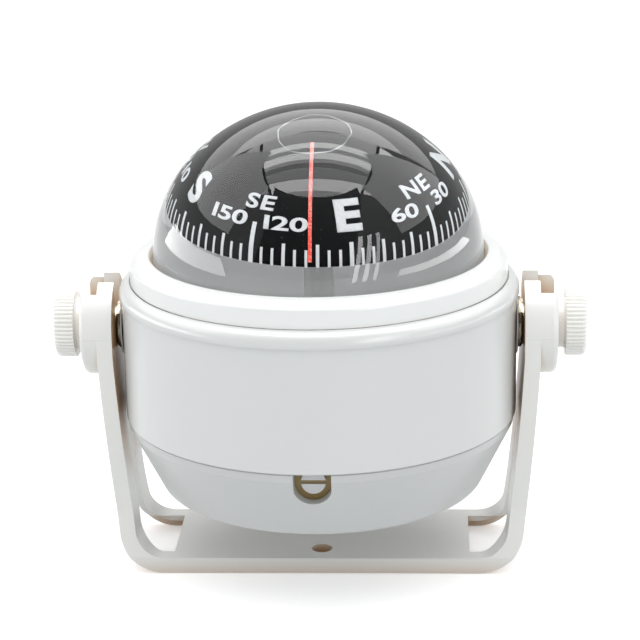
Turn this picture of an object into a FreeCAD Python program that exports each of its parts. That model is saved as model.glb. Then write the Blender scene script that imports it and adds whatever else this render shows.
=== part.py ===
import FreeCAD
import Part

import math
import os

# Bracket-mounted marine ball compass, in millimetres.
# The origin is the middle of the bracket's resting face, +Z is up, the compass
# is read from -Y, and the two clamping knobs lie on the X axis direction.

V = FreeCAD.Vector
X_AXIS = V(1, 0, 0)
Y_AXIS = V(0, 1, 0)
Z_AXIS = V(0, 0, 1)
ORIGIN = V(0, 0, 0)
FULL_TURN = 360
LEFT = -1
RIGHT = 1
OVERRUN = 6.0           # how far a cutting tool runs past what it cuts

# Fits
running_gap = 0.05      # radial gap of a shaft that turns in its bore
pilot_gap = 0.2         # radial gap of the insert's pilot in the open ear slot
seat_gap = 0.1          # gap of parts that are dropped into each other
dome_gap = 0.2          # gap between the dome and the bezel round it
flange_gap = 0.3        # gap between the liquid bowl's flange and its bore in the case
swing_gap = 0.3         # gap between the turning housing and the bracket's base

# Dome and its flange, the size that the rest is built round
dome_radius = 33.5
dome_height = 30.15
dome_wall = 2.0
dome_skirt = 3.55       # straight part between the flange and the widest section
dome_flange_width = 2.9
dome_flange_thickness = 2.0
gasket_thickness = 1.2
gasket_inset = 0.1

# Bezel
bezel_wall = 1.6
bezel_height = 5.1
bezel_recess_depth = 1.0
bezel_chamfer_width = 0.6
bezel_chamfer = 0.8
bezel_fall = 1.5        # how far the rounded top falls to its outer edge
bezel_crest_share = (0.59, 0.13)    # middle of the rounded top, across it and down its fall

# Liquid bowl, hung in the case by its flange
shelf_rise = 6.2        # shelf in the case above the tilt axis
capsule_flange_thickness = 2.0
capsule_flange_step = 0.5
capsule_inset = 2.5     # mouth of the bowl in from the dome
capsule_taper = 3.4
capsule_wall = 1.6
capsule_depth = 17.2    # from the top of its flange to its floor
capsule_corner = 1.0

# Diaphragm, its ring and the filling plug
diaphragm_thickness = 0.8
diaphragm_edge = 0.5    # how far the ring reaches past the rubber
roll_width = 5.6
roll_depth = 1.8
roll_flat_share = 0.35
ring_width = 2.8
ring_clearance = 1.2    # between the ring and the roll of the rubber inside it
ring_thickness = 1.6
vent_radius = 1.6
vent_count = 4
port_radius = 1.4
port_gap = 0.4
port_angle_deg = 45.0
plug_head_radius = 2.6
plug_head_height = 1.8
seal_thickness = 0.8

# Compensators in the lower bowl
shaft_radius = 2.4
block_cover = 0.9       # wall of the block above its bores
block_headroom = 4.75   # free height between the block and the diaphragm
shaft_recess = 4.9      # end of a shaft in from the lip of the bowl
shaft_show = 2.1        # length of a shaft in its pocket
shaft_end_gap = 1.0
shaft_slot_width = 0.8
shaft_slot_depth = 1.0
collar_step = 0.9
collar_length = 1.0
pocket_half_width = 3.65
pocket_wall = 1.25
pocket_back_wall = 1.6
magnet_pin_radius = 1.25
magnet_pin_length = 4.0
magnet_pin_place = 16.0
block_half = 10.0

# Lower bowl
seam_above_shaft = 3.4
bowl_below_shaft = 12.0
lip_step = 0.5
lip_height = 1.75
bowl_wall = 1.8
bowl_taper = 8.2
bowl_corner_radius = 2.4
bowl_inner_chamfer = 0.8
spigot_height = 2.0
spigot_wall = 1.7

# Case: the upper body shell
case_wall = 2.0
ledge_width = 0.6       # flat ring round the foot of the bezel
shoulder_width = 1.8
shoulder_height = 3.3
shoulder_bulge_share = (0.17, 0.58) # middle of the rolled shoulder, in from its edge and down from its top
bead_step = 0.5         # how far the shoulder overhangs the wall
shelf_thickness = 1.8
shelf_clearance = 1.0
case_boss_gap = 0.4

# Threaded inserts, studs and knobs
insert_disc_radius = 5.2
insert_shank_radius = 3.6
insert_spot_depth = 0.3
insert_inner_step = 0.4
insert_pilot_end_gap = 0.2
insert_boss_radius = 5.0
stud_radius = 2.5
stud_inner_step = 0.6
stud_in_knob = 6.0
knob_radius = 6.9
knob_head_length = 4.15
knob_neck_radius = 5.3
knob_edge_radius = 0.9
knob_ribs = 50
knob_rib_depth = 0.3
rib_shares = (0.0, 0.45, 0.72)      # two corners of a rib's crest and its root, as shares of its pitch

# Bracket: a moulded U channel, open to the outside, with two eared legs
ear_gap = 1.3           # between the case and the inside of an ear
strap_depth = 3.2       # height of the channel's rims
web_thickness = 1.2
rim_thickness = 1.6
ear_radius = 10.4
ear_bend_rise = 1.0     # start of the ear's bend above the bottom of the insert's disc
ear_bend_radius = 30.0
leg_lean_deg = 2.9      # where the ear's bend passes into the leg's long bow
leg_bow_radius = 530.0
corner_radius = 9.0
foot_half_depth = 13.1
foot_flare_height = 14.0
foot_flare_share = (0.33, 0.5)      # middle point of the flare, across and up
window_lead = 2.0       # start of a corner window before the bend of the base
window_foot_half = 9.5
window_leg_half = 2.4
window_neck_height = 12.5
window_top_rise = 0.3   # middle of a window's round head above the adjusters
window_curve_share = (0.45, 0.24)
boss_height = 3.5
boss_root_depth = 2.0
boss_edge_radius = 1.2
knob_clearance = 1.75   # between an ear's boss and the head of its knob
ear_slot_half = 3.75
boss_slot_half = 6.7
screw_hole_radius = 2.15
screw_hole_y = 7.8
screw_pad_radius = 4.2

# Card and what carries it
card_radius = 23.2
card_height = 17.0
card_lift = 5.0         # widest section of the card above that of the dome
card_skirt = 0.75
card_wall = 0.8
card_heading_deg = 108.0
hub_thickness = 1.1
hub_tube_radius = 3.6
hub_bore_radius = 2.6
hub_headroom = 4.35     # free height over the hub's tube under the card's crown
float_height = 7.6
float_gap = 0.6
magnet_width = 3.0
magnet_length = 26.0
magnet_offset = 7.0
jewel_height = 1.5
jewel_cup_radius = 1.2
jewel_cup_depth = 1.0
post_foot_radius = 5.0
post_foot_height = 1.5
post_lower_radius = 2.6
post_upper_radius = 1.7
post_spigot_radius = 2.0
post_needle_cover = 4.2
needle_radius = 0.6
needle_tip_radius = 0.05
needle_seat_depth = 2.4
needle_cone = 1.55
tip_gap = 0.05

# Lubber line on the inside of the dome
lubber_width = 0.65
lubber_thickness = 0.5
lubber_gap = 0.02
lubber_low_deg = 14.1   # slopes of the dome at the strip's two ends
lubber_high_deg = 65.2

# Screws
case_screw_count = 3
case_screw_inset = 0.5
case_screw_first_deg = 90.0
case_screw_radius = 1.5
case_screw_head_radius = 2.8
case_screw_head_height = 1.8
case_screw_sink = 0.5
case_screw_clearance = 0.1
case_screw_boss_radius = 3.9
lug_thickness = 2.7
lug_half_width = 3.2
block_screw_place = 6.0
block_screw_radius = 1.2
block_screw_head_radius = 2.4
block_screw_length = 8.0

# Radii about the upright axis, from the dome outwards
dome_flange_radius = dome_radius + dome_flange_width
gasket_inner_radius = dome_radius - gasket_inset
bezel_bore_radius = dome_radius + dome_gap
bezel_recess_radius = dome_flange_radius + dome_gap
bezel_radius = bezel_recess_radius + bezel_wall
shoulder_ledge_radius = bezel_radius + ledge_width
bead_radius = shoulder_ledge_radius + shoulder_width
case_radius = bead_radius - bead_step
case_inner_radius = case_radius - case_wall
capsule_flange_radius = dome_flange_radius + capsule_flange_step
flange_bore_radius = capsule_flange_radius + flange_gap
capsule_top_radius = dome_radius - capsule_inset
capsule_outer_radius = capsule_top_radius + capsule_wall
capsule_floor_radius = capsule_top_radius - capsule_taper
shelf_bore_radius = capsule_outer_radius + shelf_clearance
port_circle_radius = capsule_floor_radius - capsule_corner - plug_head_radius
ring_outer_radius = port_circle_radius - plug_head_radius - port_gap
ring_inner_radius = ring_outer_radius - ring_width
roll_outer_radius = ring_inner_radius - ring_clearance
roll_inner_radius = roll_outer_radius - roll_width
diaphragm_radius = ring_outer_radius - diaphragm_edge
vent_circle_radius = (roll_inner_radius + roll_outer_radius) / 2
lip_radius = case_radius - lip_step
bowl_corner_centre_radius = lip_radius - bowl_taper
case_screw_circle = bowl_corner_centre_radius - case_screw_inset - case_screw_boss_radius
shaft_outer_end = lip_radius - shaft_recess
shaft_inner_end = shaft_radius + shaft_end_gap
pocket_back = shaft_outer_end - shaft_show
collar_radius = shaft_radius + collar_step

# Places along the tilt axis
ear_inner_x = case_radius + ear_gap
ear_outer_x = ear_inner_x + strap_depth
boss_outer_x = ear_outer_x + boss_height
boss_root_x = ear_outer_x - boss_root_depth
knob_back_x = boss_outer_x + knob_clearance
knob_face_x = knob_back_x + knob_head_length        # half of the width over the knobs, 108.2
case_boss_inner_x = capsule_outer_radius + case_boss_gap
insert_inner_x = case_boss_inner_x + insert_inner_step
insert_seat_x = case_radius - insert_spot_depth
insert_face_x = ear_inner_x - seat_gap
stud_inner_x = insert_inner_x + stud_inner_step

# Drops below the tilt axis, and the axis's height that lets the housing swing clear of the base
ear_drop = insert_disc_radius - ear_bend_rise
capsule_bottom_drop = capsule_depth + capsule_wall - shelf_rise - capsule_flange_thickness
block_top_drop = capsule_bottom_drop + diaphragm_thickness + roll_depth + block_headroom
shaft_drop = block_top_drop + block_cover + running_gap + shaft_radius
seam_drop = shaft_drop - seam_above_shaft
bowl_drop = shaft_drop + bowl_below_shaft
bowl_corner_drop = bowl_drop - bowl_corner_radius
bowl_swing = math.hypot(bowl_corner_centre_radius, bowl_corner_drop) + bowl_corner_radius
dome_flange_top_rise = shelf_rise + capsule_flange_thickness + gasket_thickness + dome_flange_thickness
dome_swing = dome_flange_top_rise + dome_skirt + dome_height
axis_height = strap_depth + swing_gap + max(bowl_swing, dome_swing)

# Heights above the resting face
seam_z = axis_height - seam_drop
bowl_bottom_z = axis_height - bowl_drop
bowl_floor_z = bowl_bottom_z + bowl_wall
shaft_z = axis_height - shaft_drop
window_top_z = shaft_z + window_top_rise
spigot_top_z = seam_z + spigot_height
shelf_z = axis_height + shelf_rise
capsule_top_z = shelf_z + capsule_flange_thickness
capsule_floor_z = capsule_top_z - capsule_depth
capsule_bottom_z = capsule_floor_z - capsule_wall
dome_flange_z = capsule_top_z + gasket_thickness
dome_flange_top_z = axis_height + dome_flange_top_rise
dome_z = dome_flange_top_z + dome_skirt
shoulder_z = dome_flange_top_z - bezel_recess_depth
bead_z = shoulder_z - shoulder_height
bezel_top_z = shoulder_z + bezel_height
card_z = dome_z + card_lift
hub_z = card_z - card_skirt + seat_gap
hub_top_z = hub_z + hub_thickness
tube_top_z = card_z + card_height - card_wall - hub_headroom
jewel_z = tube_top_z - jewel_height
needle_tip_z = jewel_z + jewel_cup_depth - tip_gap


def line(a, b):
    return Part.LineSegment(a, b).toShape()


def arc(a, middle, b):
    return Part.Arc(a, middle, b).toShape()


def path_xz(steps):
    """A closed wire in the XZ plane from (x, z) points; a step of two points is an arc."""
    edges = []
    first = V(steps[0][0], 0, steps[0][1])
    last = first
    for step in steps[1:] + [steps[0]]:
        if isinstance(step[0], tuple):
            middle, end = step
            point = V(end[0], 0, end[1])
            edges.append(arc(last, V(middle[0], 0, middle[1]), point))
        else:
            point = V(step[0], 0, step[1])
            edges.append(line(last, point))
        last = point
    return Part.Wire(edges)


def turned(steps):
    """A body of revolution about Z from an outline of (radius, height) points."""
    return Part.Face(path_xz(steps)).revolve(ORIGIN, Z_AXIS, FULL_TURN)


def tube(outer, inner, low, high):
    return turned([(inner, low), (outer, low), (outer, high), (inner, high)])


def rod(radius, low, high):
    return Part.makeCylinder(radius, high - low, V(0, 0, low))


def to_side(shape, side):
    """Turns a body made along +Z so that it lies on the tilt axis, pointing to one side."""
    shape = shape.copy()
    shape.rotate(ORIGIN, Y_AXIS, side * FULL_TURN / 4)
    shape.translate(V(0, 0, axis_height))
    return shape


def turned_about_z(shape, degrees):
    shape = shape.copy()
    shape.rotate(ORIGIN, Z_AXIS, degrees)
    return shape


def save(name, shape):
    shape.exportStep("parts/%s.step" % name)


def on_circle(centre, radius, degrees):
    angle = math.radians(degrees)
    return (centre[0] + radius * math.cos(angle), centre[1] - radius * math.sin(angle))


# Bracket

def strap_centres():
    """Centres of the three arcs of the right leg: the ear's bend, the leg's bow and the corner of the base."""
    bend_centre = (ear_outer_x - ear_bend_radius, axis_height - ear_drop)
    bow_centre = on_circle(bend_centre, ear_bend_radius - leg_bow_radius, leg_lean_deg)
    reach = leg_bow_radius - corner_radius
    drop = bow_centre[1] - corner_radius
    return bend_centre, bow_centre, (bow_centre[0] + math.sqrt(reach * reach - drop * drop), corner_radius)


def strap_arcs(inset):
    """Points of the right leg, from the ear down to the base, at a depth in from the outer face."""
    bend_centre, bow_centre, corner_centre = strap_centres()
    foot_deg = math.degrees(math.asin((bow_centre[1] - corner_radius) / (leg_bow_radius - corner_radius)))
    square_deg = FULL_TURN / 4
    bend = ear_bend_radius - inset
    bow = leg_bow_radius - inset
    corner = corner_radius - inset
    return [
        (ear_outer_x - inset, axis_height + ear_radius + OVERRUN),
        (ear_outer_x - inset, axis_height - ear_drop),
        (on_circle(bend_centre, bend, leg_lean_deg / 2), on_circle(bend_centre, bend, leg_lean_deg)),
        (on_circle(bow_centre, bow, (leg_lean_deg + foot_deg) / 2), on_circle(bow_centre, bow, foot_deg)),
        (on_circle(corner_centre, corner, (foot_deg + square_deg) / 2), on_circle(corner_centre, corner, square_deg)),
    ]


def backwards(steps):
    """The same outline walked from its last point to its first."""
    ends = [step[1] if isinstance(step[0], tuple) else step for step in steps]
    result = [ends[-1]]
    for index in range(len(steps) - 1, 0, -1):
        target = ends[index - 1]
        step = steps[index]
        result.append((step[0], target) if isinstance(step[0], tuple) else target)
    return result


def mirrored(steps):
    result = []
    for step in steps:
        if isinstance(step[0], tuple):
            result.append(((-step[0][0], step[0][1]), (-step[1][0], step[1][1])))
        else:
            result.append((-step[0], step[1]))
    return result


def strap_prism(outer_inset, inner_inset, half_depth):
    """The U between two depths of the strap, run along Y."""
    outer = strap_arcs(outer_inset)
    inner = strap_arcs(inner_inset)
    steps = outer + backwards(mirrored(outer)) + mirrored(inner) + backwards(inner)
    face = Part.Face(path_xz(steps))
    face.translate(V(0, -half_depth, 0))
    return face.extrude(V(0, 2 * half_depth, 0))


def side_prism(leg_half, foot_half, flare, neck_z, foot_z, top_z, half_span):
    """A leg seen from the side: narrow above, flaring to its foot; run along X."""
    across, up = flare
    curve_y = leg_half + (foot_half - leg_half) * across
    curve_z = foot_z + (neck_z - foot_z) * up
    low = -OVERRUN
    points = {
        "foot": V(0, foot_half, foot_z), "curve": V(0, curve_y, curve_z), "neck": V(0, leg_half, neck_z),
        "top": V(0, leg_half, top_z), "base": V(0, foot_half, low),
    }
    other = {name: V(0, -point.y, point.z) for name, point in points.items()}
    wire = Part.Wire([
        line(points["base"], points["foot"]),
        arc(points["foot"], points["curve"], points["neck"]),
        line(points["neck"], points["top"]),
        line(points["top"], other["top"]),
        line(other["top"], other["neck"]),
        arc(other["neck"], other["curve"], other["foot"]),
        line(other["foot"], other["base"]),
        line(other["base"], points["base"]),
    ])
    face = Part.Face(wire)
    face.translate(V(-half_span, 0, 0))
    return face.extrude(V(2 * half_span, 0, 0))


def open_slot(half_width, near_x, far_x, side):
    """A slot with a round bottom on the tilt axis, open upwards."""
    length = far_x - near_x
    round_end = Part.makeCylinder(half_width, length, V(0, 0, near_x))
    lead = Part.makeBox(ear_radius + OVERRUN, 2 * half_width, length, V(-ear_radius - OVERRUN, -half_width, near_x))
    shape = round_end.fuse(lead)
    if side == LEFT:
        shape = shape.mirror(ORIGIN, X_AXIS)
    return to_side(shape, side)


def ear_boss(side):
    edge = boss_edge_radius
    slant = edge * (1 - math.sqrt(0.5))
    shape = turned([
        (0, boss_root_x), (ear_radius, boss_root_x), (ear_radius, boss_outer_x - edge),
        ((ear_radius - slant, boss_outer_x - slant), (ear_radius - edge, boss_outer_x)), (0, boss_outer_x),
    ])
    return to_side(shape, side)


def window_cut(side):
    """One corner window: wide in the base, a slim slot with a round head in the leg."""
    shape = side_prism(window_leg_half, window_foot_half, window_curve_share, window_neck_height,
                       strap_depth, window_top_z, ear_outer_x + OVERRUN)
    head = Part.makeCylinder(window_leg_half, 2 * (ear_outer_x + OVERRUN),
                             V(-ear_outer_x - OVERRUN, 0, window_top_z), X_AXIS)
    near = strap_centres()[2][0] - window_lead
    reach = ear_outer_x + OVERRUN - near
    start = near if side == RIGHT else -near - reach
    half = foot_half_depth + OVERRUN
    limit = Part.makeBox(reach, 2 * half, axis_height, V(start, -half, -OVERRUN))
    return shape.fuse(head).common(limit)


def make_bracket():
    leg_form = side_prism(ear_radius, foot_half_depth, foot_flare_share, foot_flare_height,
                          strap_depth, axis_height, ear_outer_x + OVERRUN)
    ear_form = Part.makeCylinder(ear_radius, 2 * (ear_outer_x + OVERRUN),
                                 V(-ear_outer_x - OVERRUN, 0, axis_height), X_AXIS)
    strap = strap_prism(0, strap_depth, foot_half_depth + OVERRUN).common(leg_form.fuse(ear_form))
    hollow_form = side_prism(ear_radius - rim_thickness, foot_half_depth - rim_thickness, foot_flare_share,
                             foot_flare_height, strap_depth, axis_height - ear_radius - rim_thickness,
                             ear_outer_x + OVERRUN)
    hollow = strap_prism(-OVERRUN / 2, strap_depth - web_thickness, foot_half_depth).common(hollow_form)
    shape = strap.cut(hollow)
    for place in (-screw_hole_y, screw_hole_y):
        pad = Part.makeCylinder(screw_pad_radius, strap_depth, V(0, place, 0))
        shape = shape.fuse(pad)
    for side in (LEFT, RIGHT):
        shape = shape.fuse(ear_boss(side))
        shape = shape.cut(window_cut(side))
        shape = shape.cut(open_slot(ear_slot_half, ear_inner_x - OVERRUN, boss_outer_x + OVERRUN, side))
        shape = shape.cut(open_slot(boss_slot_half, ear_outer_x, boss_outer_x + OVERRUN, side))
    for place in (-screw_hole_y, screw_hole_y):
        shape = shape.cut(Part.makeCylinder(screw_hole_radius, strap_depth + 2 * OVERRUN, V(0, place, -OVERRUN)))
    return shape.removeSplitter()


# Knobs, studs and inserts, made along +Z with the outside of the compass at the top

def rib_section(crest, height):
    """The knob's ribbed outline at one height, as a closed polygon."""
    root = crest - knob_rib_depth
    pitch = math.radians(FULL_TURN / knob_ribs)
    points = []
    for rib in range(knob_ribs):
        for share, radius in zip(rib_shares, (crest, crest, root)):
            angle = (rib + share) * pitch
            points.append(V(radius * math.cos(angle), radius * math.sin(angle), height))
    return Part.makePolygon(points + points[:1])


def make_knob(side):
    grip = Part.makeLoft([
        rib_section(knob_radius, knob_back_x), rib_section(knob_radius, knob_face_x - knob_edge_radius),
        rib_section(knob_radius - knob_edge_radius / 2, knob_face_x),
    ], True, True)
    shape = grip.fuse(rod(knob_neck_radius, ear_outer_x, knob_back_x))
    return to_side(shape.cut(rod(stud_radius, ear_outer_x - OVERRUN, ear_outer_x + stud_in_knob)), side)


def make_stud(side):
    return to_side(rod(stud_radius, stud_inner_x, ear_outer_x + stud_in_knob), side)


def make_insert(side):
    pilot_radius = ear_slot_half - pilot_gap
    bore = stud_radius + running_gap
    shape = turned([
        (bore, insert_inner_x), (insert_shank_radius, insert_inner_x), (insert_shank_radius, insert_seat_x),
        (insert_disc_radius, insert_seat_x), (insert_disc_radius, insert_face_x), (pilot_radius, insert_face_x),
        (pilot_radius, ear_outer_x - insert_pilot_end_gap), (bore, ear_outer_x - insert_pilot_end_gap),
    ])
    return to_side(shape, side)


# Case and lower bowl

def screw_places():
    step = FULL_TURN / case_screw_count
    return [case_screw_first_deg + index * step for index in range(case_screw_count)]


def case_lug():
    """A tab inside the case that takes one of the screws of the lower bowl."""
    reach = case_inner_radius + case_wall / 2 - case_screw_circle
    tab = Part.makeBox(reach, 2 * lug_half_width, lug_thickness, V(case_screw_circle, -lug_half_width, spigot_top_z))
    end = Part.makeCylinder(lug_half_width, lug_thickness, V(case_screw_circle, 0, spigot_top_z))
    return tab.fuse(end)


def make_case():
    across, down = shoulder_bulge_share
    bulge = (bead_radius - shoulder_width * across, shoulder_z - shoulder_height * down)
    shell = turned([
        (case_inner_radius, seam_z), (case_radius, seam_z), (case_radius, bead_z), (bead_radius, bead_z),
        (bulge, (shoulder_ledge_radius, shoulder_z)),
        (flange_bore_radius, shoulder_z), (flange_bore_radius, shelf_z), (shelf_bore_radius, shelf_z),
        (shelf_bore_radius, shelf_z - shelf_thickness), (case_inner_radius, shelf_z - shelf_thickness),
    ])
    for degrees in screw_places():
        shell = shell.fuse(turned_about_z(case_lug(), degrees))
    for side in (LEFT, RIGHT):
        boss = to_side(rod(insert_boss_radius, case_boss_inner_x, case_inner_radius + case_wall / 2), side)
        shell = shell.fuse(boss)
    for side in (LEFT, RIGHT):
        bore = rod(insert_shank_radius, case_boss_inner_x - OVERRUN, case_radius + OVERRUN)
        spot = rod(insert_disc_radius + seat_gap, insert_seat_x, case_radius + OVERRUN)
        shell = shell.cut(to_side(bore.fuse(spot), side))
    for degrees in screw_places():
        hole = Part.makeCylinder(case_screw_radius, lug_thickness + OVERRUN,
                                 V(case_screw_circle, 0, spigot_top_z - OVERRUN / 2))
        shell = shell.cut(turned_about_z(hole, degrees))
    return shell.removeSplitter()


def bowl_outline(side_radius, corner_radius, floor_z):
    """Points of the lower bowl's taper, down to where its corner starts, and the corner's centre."""
    centre = (bowl_corner_centre_radius, floor_z + corner_radius)
    rise = seam_z - lip_height - centre[1]
    run = side_radius - centre[0]
    lean_deg = math.degrees(math.acos(corner_radius / math.hypot(rise, run)) - math.atan2(rise, run))
    corner = on_circle(centre, corner_radius, (lean_deg + FULL_TURN / 4) / 2)
    floor = on_circle(centre, corner_radius, FULL_TURN / 4)
    return [(side_radius, seam_z - lip_height), on_circle(centre, corner_radius, lean_deg), corner, floor]


def shaft_pocket():
    """The walls round one compensator shaft where it comes out, made towards +X."""
    outer = pocket_half_width + pocket_wall
    length = lip_radius - pocket_back
    barrel = Part.makeCylinder(outer, length, V(pocket_back, 0, shaft_z), X_AXIS)
    lower_half = barrel.common(Part.makeBox(length, 2 * outer, outer, V(pocket_back, -outer, shaft_z - outer)))
    cheeks = Part.makeBox(length, 2 * outer, spigot_top_z - shaft_z, V(pocket_back, -outer, shaft_z))
    return lower_half.fuse(cheeks)


def pocket_opening():
    start = pocket_back + pocket_back_wall
    length = lip_radius + OVERRUN - start
    barrel = Part.makeCylinder(pocket_half_width, length, V(start, 0, shaft_z), X_AXIS)
    above = Part.makeBox(length, 2 * pocket_half_width, spigot_top_z + OVERRUN - shaft_z,
                         V(start, -pocket_half_width, shaft_z))
    bore = Part.makeCylinder(shaft_radius + running_gap, 2 * OVERRUN, V(pocket_back - OVERRUN, 0, shaft_z), X_AXIS)
    return barrel.fuse(above).fuse(bore)


def make_lower_bowl():
    lip_z = seam_z - lip_height
    taper, corner_start, corner, floor = bowl_outline(lip_radius, bowl_corner_radius, bowl_bottom_z)
    filled = turned([(0, seam_z), (lip_radius, seam_z), taper, corner_start, (corner, floor), (0, bowl_bottom_z)])
    inside = bowl_outline(lip_radius - bowl_wall, bowl_inner_chamfer, bowl_floor_z)
    hollow = turned([(0, seam_z + OVERRUN), (lip_radius - bowl_wall, seam_z + OVERRUN)] + inside
                    + [(0, bowl_floor_z)])
    spigot_outer = case_inner_radius - seat_gap
    spigot = tube(spigot_outer, spigot_outer - spigot_wall, lip_z, spigot_top_z)
    shell = filled.cut(hollow).fuse(spigot)
    room = filled.fuse(rod(spigot_outer, bowl_bottom_z, spigot_top_z))
    openings = []
    for degrees in (-FULL_TURN / 4, FULL_TURN / 2):
        shell = shell.fuse(turned_about_z(shaft_pocket(), degrees).common(room))
        openings.append(turned_about_z(pocket_opening(), degrees))
    for degrees in screw_places():
        boss = Part.makeCylinder(case_screw_boss_radius, spigot_top_z - bowl_bottom_z,
                                 V(case_screw_circle, 0, bowl_bottom_z))
        shell = shell.fuse(turned_about_z(boss, degrees).common(room))
    for opening in openings:
        shell = shell.cut(opening)
    head_top = bowl_bottom_z + case_screw_sink + case_screw_head_height
    for degrees in screw_places():
        hole = Part.makeCylinder(case_screw_radius + case_screw_clearance, axis_height,
                                 V(case_screw_circle, 0, 0))
        sink = Part.makeCylinder(case_screw_head_radius + case_screw_clearance, head_top,
                                 V(case_screw_circle, 0, 0))
        shell = shell.cut(turned_about_z(hole.fuse(sink), degrees))
    for place in (-block_screw_place, block_screw_place):
        shell = shell.cut(block_screw(place, case_screw_clearance))
    return shell.removeSplitter()


def make_case_screws():
    screws = []
    head_z = bowl_bottom_z + case_screw_sink
    top_z = spigot_top_z + lug_thickness
    for degrees in screw_places():
        head = Part.makeCylinder(case_screw_head_radius, case_screw_head_height, V(case_screw_circle, 0, head_z))
        shank = Part.makeCylinder(case_screw_radius, top_z - head_z, V(case_screw_circle, 0, head_z))
        screws.append(turned_about_z(head.fuse(shank), degrees))
    return Part.makeCompound(screws)


def block_screw(place, extra):
    depth = block_screw_head_radius - block_screw_radius
    head = Part.makeCone(block_screw_head_radius + extra, block_screw_radius + extra, depth,
                         V(place, place, bowl_bottom_z))
    shank = Part.makeCylinder(block_screw_radius + extra, bowl_wall + block_screw_length,
                              V(place, place, bowl_bottom_z))
    return head.fuse(shank)


# Bezel, dome, gasket and liquid bowl

def make_bezel():
    inner_edge = bezel_bore_radius + bezel_chamfer_width
    across, down = bezel_crest_share
    crest = (inner_edge + (bezel_radius - inner_edge) * across, bezel_top_z - bezel_fall * down)
    return turned([
        (bezel_bore_radius, dome_flange_top_z), (bezel_bore_radius, bezel_top_z - bezel_chamfer),
        (inner_edge, bezel_top_z), (crest, (bezel_radius, bezel_top_z - bezel_fall)), (bezel_radius, shoulder_z),
        (bezel_recess_radius, shoulder_z), (bezel_recess_radius, dome_flange_top_z),
    ])


def dome_arcs(radius, height):
    """A dome's meridian as two tangent arcs: the radii of side and crown, and where they meet."""
    chord = math.hypot(radius, height)
    spare = radius - height
    side = chord * (chord - spare) / (2 * radius)
    crown = chord * (chord + spare) / (2 * height)
    join = math.degrees(math.atan2(abs(crown - height), abs(radius - side))) or FULL_TURN / 8
    return side, crown, join


def dome_point(size, inset, base_z, degrees):
    """A point of the meridian by the slope of its normal, at a depth in from the surface."""
    radius, height = size
    side, crown, join = dome_arcs(radius, height)
    if degrees > join:
        return on_circle((0, base_z + height - crown), crown - inset, -degrees)
    return on_circle((radius - side, base_z), side - inset, -degrees)


def dome_steps(size, inset, base_z, low_deg, high_deg):
    """Steps of the meridian between two slopes, below and above the place where its arcs meet."""
    join = dome_arcs(*size)[2]

    def point(degrees):
        return dome_point(size, inset, base_z, degrees)

    return [point(low_deg), (point((low_deg + join) / 2), point(join)), (point((join + high_deg) / 2), point(high_deg))]


def domed_shell(size, wall, base_z, skirt):
    """A dome of even wall on a skirt, whose (radius, height) points run from outside to inside."""
    top_deg = FULL_TURN / 4
    outer = dome_steps(size, 0, base_z, 0, top_deg)
    inner = dome_steps(size, wall, base_z, 0, top_deg)
    outer[-1] = (outer[-1][0], (0, base_z + size[1]))
    inner[-1] = (inner[-1][0], (0, base_z + size[1] - wall))
    return turned(outer + backwards(inner) + skirt[::-1])


def dome_radius_at(size, inset, rise):
    """The dome's radius at a height above its widest section, at a depth in from the surface."""
    radius, height = size
    side, crown, join = dome_arcs(radius, height)
    if rise > (side - inset) * math.sin(math.radians(join)):
        below = rise - height + crown
        return math.sqrt((crown - inset) * (crown - inset) - below * below)
    return radius - side + math.sqrt((side - inset) * (side - inset) - rise * rise)


def make_dome():
    return domed_shell((dome_radius, dome_height), dome_wall, dome_z, [
        (dome_radius, dome_flange_top_z), (dome_flange_radius, dome_flange_top_z),
        (dome_flange_radius, dome_flange_z), (dome_radius - dome_wall, dome_flange_z),
    ])


def make_gasket():
    return tube(dome_flange_radius, gasket_inner_radius, capsule_top_z, dome_flange_z)


def make_liquid_bowl():
    floor_r = capsule_floor_radius
    outer_r = floor_r + capsule_wall
    shell = turned([
        (0, capsule_floor_z), (floor_r - capsule_corner, capsule_floor_z), (floor_r, capsule_floor_z + capsule_corner),
        (capsule_top_radius, capsule_top_z), (capsule_flange_radius, capsule_top_z),
        (capsule_flange_radius, shelf_z), (capsule_outer_radius, shelf_z),
        (outer_r, capsule_floor_z + capsule_corner), (outer_r - capsule_wall - capsule_corner, capsule_bottom_z),
        (0, capsule_bottom_z),
    ])
    depth = capsule_wall + 2 * OVERRUN
    low = capsule_bottom_z - OVERRUN
    for index in range(vent_count):
        vent = Part.makeCylinder(vent_radius, depth, V(vent_circle_radius, 0, low))
        shell = shell.cut(turned_about_z(vent, index * FULL_TURN / vent_count))
    port = Part.makeCylinder(port_radius, depth, V(port_circle_radius, 0, low))
    shell = shell.cut(turned_about_z(port, port_angle_deg))
    return shell.cut(Part.makeCylinder(post_spigot_radius, depth, V(0, 0, low)))


def make_diaphragm():
    """A rubber disc with one hanging fold, clamped at its edge under the liquid bowl's floor."""
    top = capsule_bottom_z
    flat = (roll_outer_radius - roll_inner_radius) * roll_flat_share
    outer = roll_outer_radius
    inner = roll_inner_radius
    wall = diaphragm_thickness
    return turned([
        (0, top), (inner, top), (inner + flat, top - roll_depth), (outer - flat, top - roll_depth), (outer, top),
        (diaphragm_radius, top), (diaphragm_radius, top - wall), (outer, top - wall),
        (outer - flat, top - roll_depth - wall), (inner + flat, top - roll_depth - wall), (inner, top - wall),
        (0, top - wall),
    ])


def make_diaphragm_ring():
    top = capsule_bottom_z - diaphragm_thickness
    return tube(ring_outer_radius, ring_inner_radius, top - ring_thickness, top)


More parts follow.
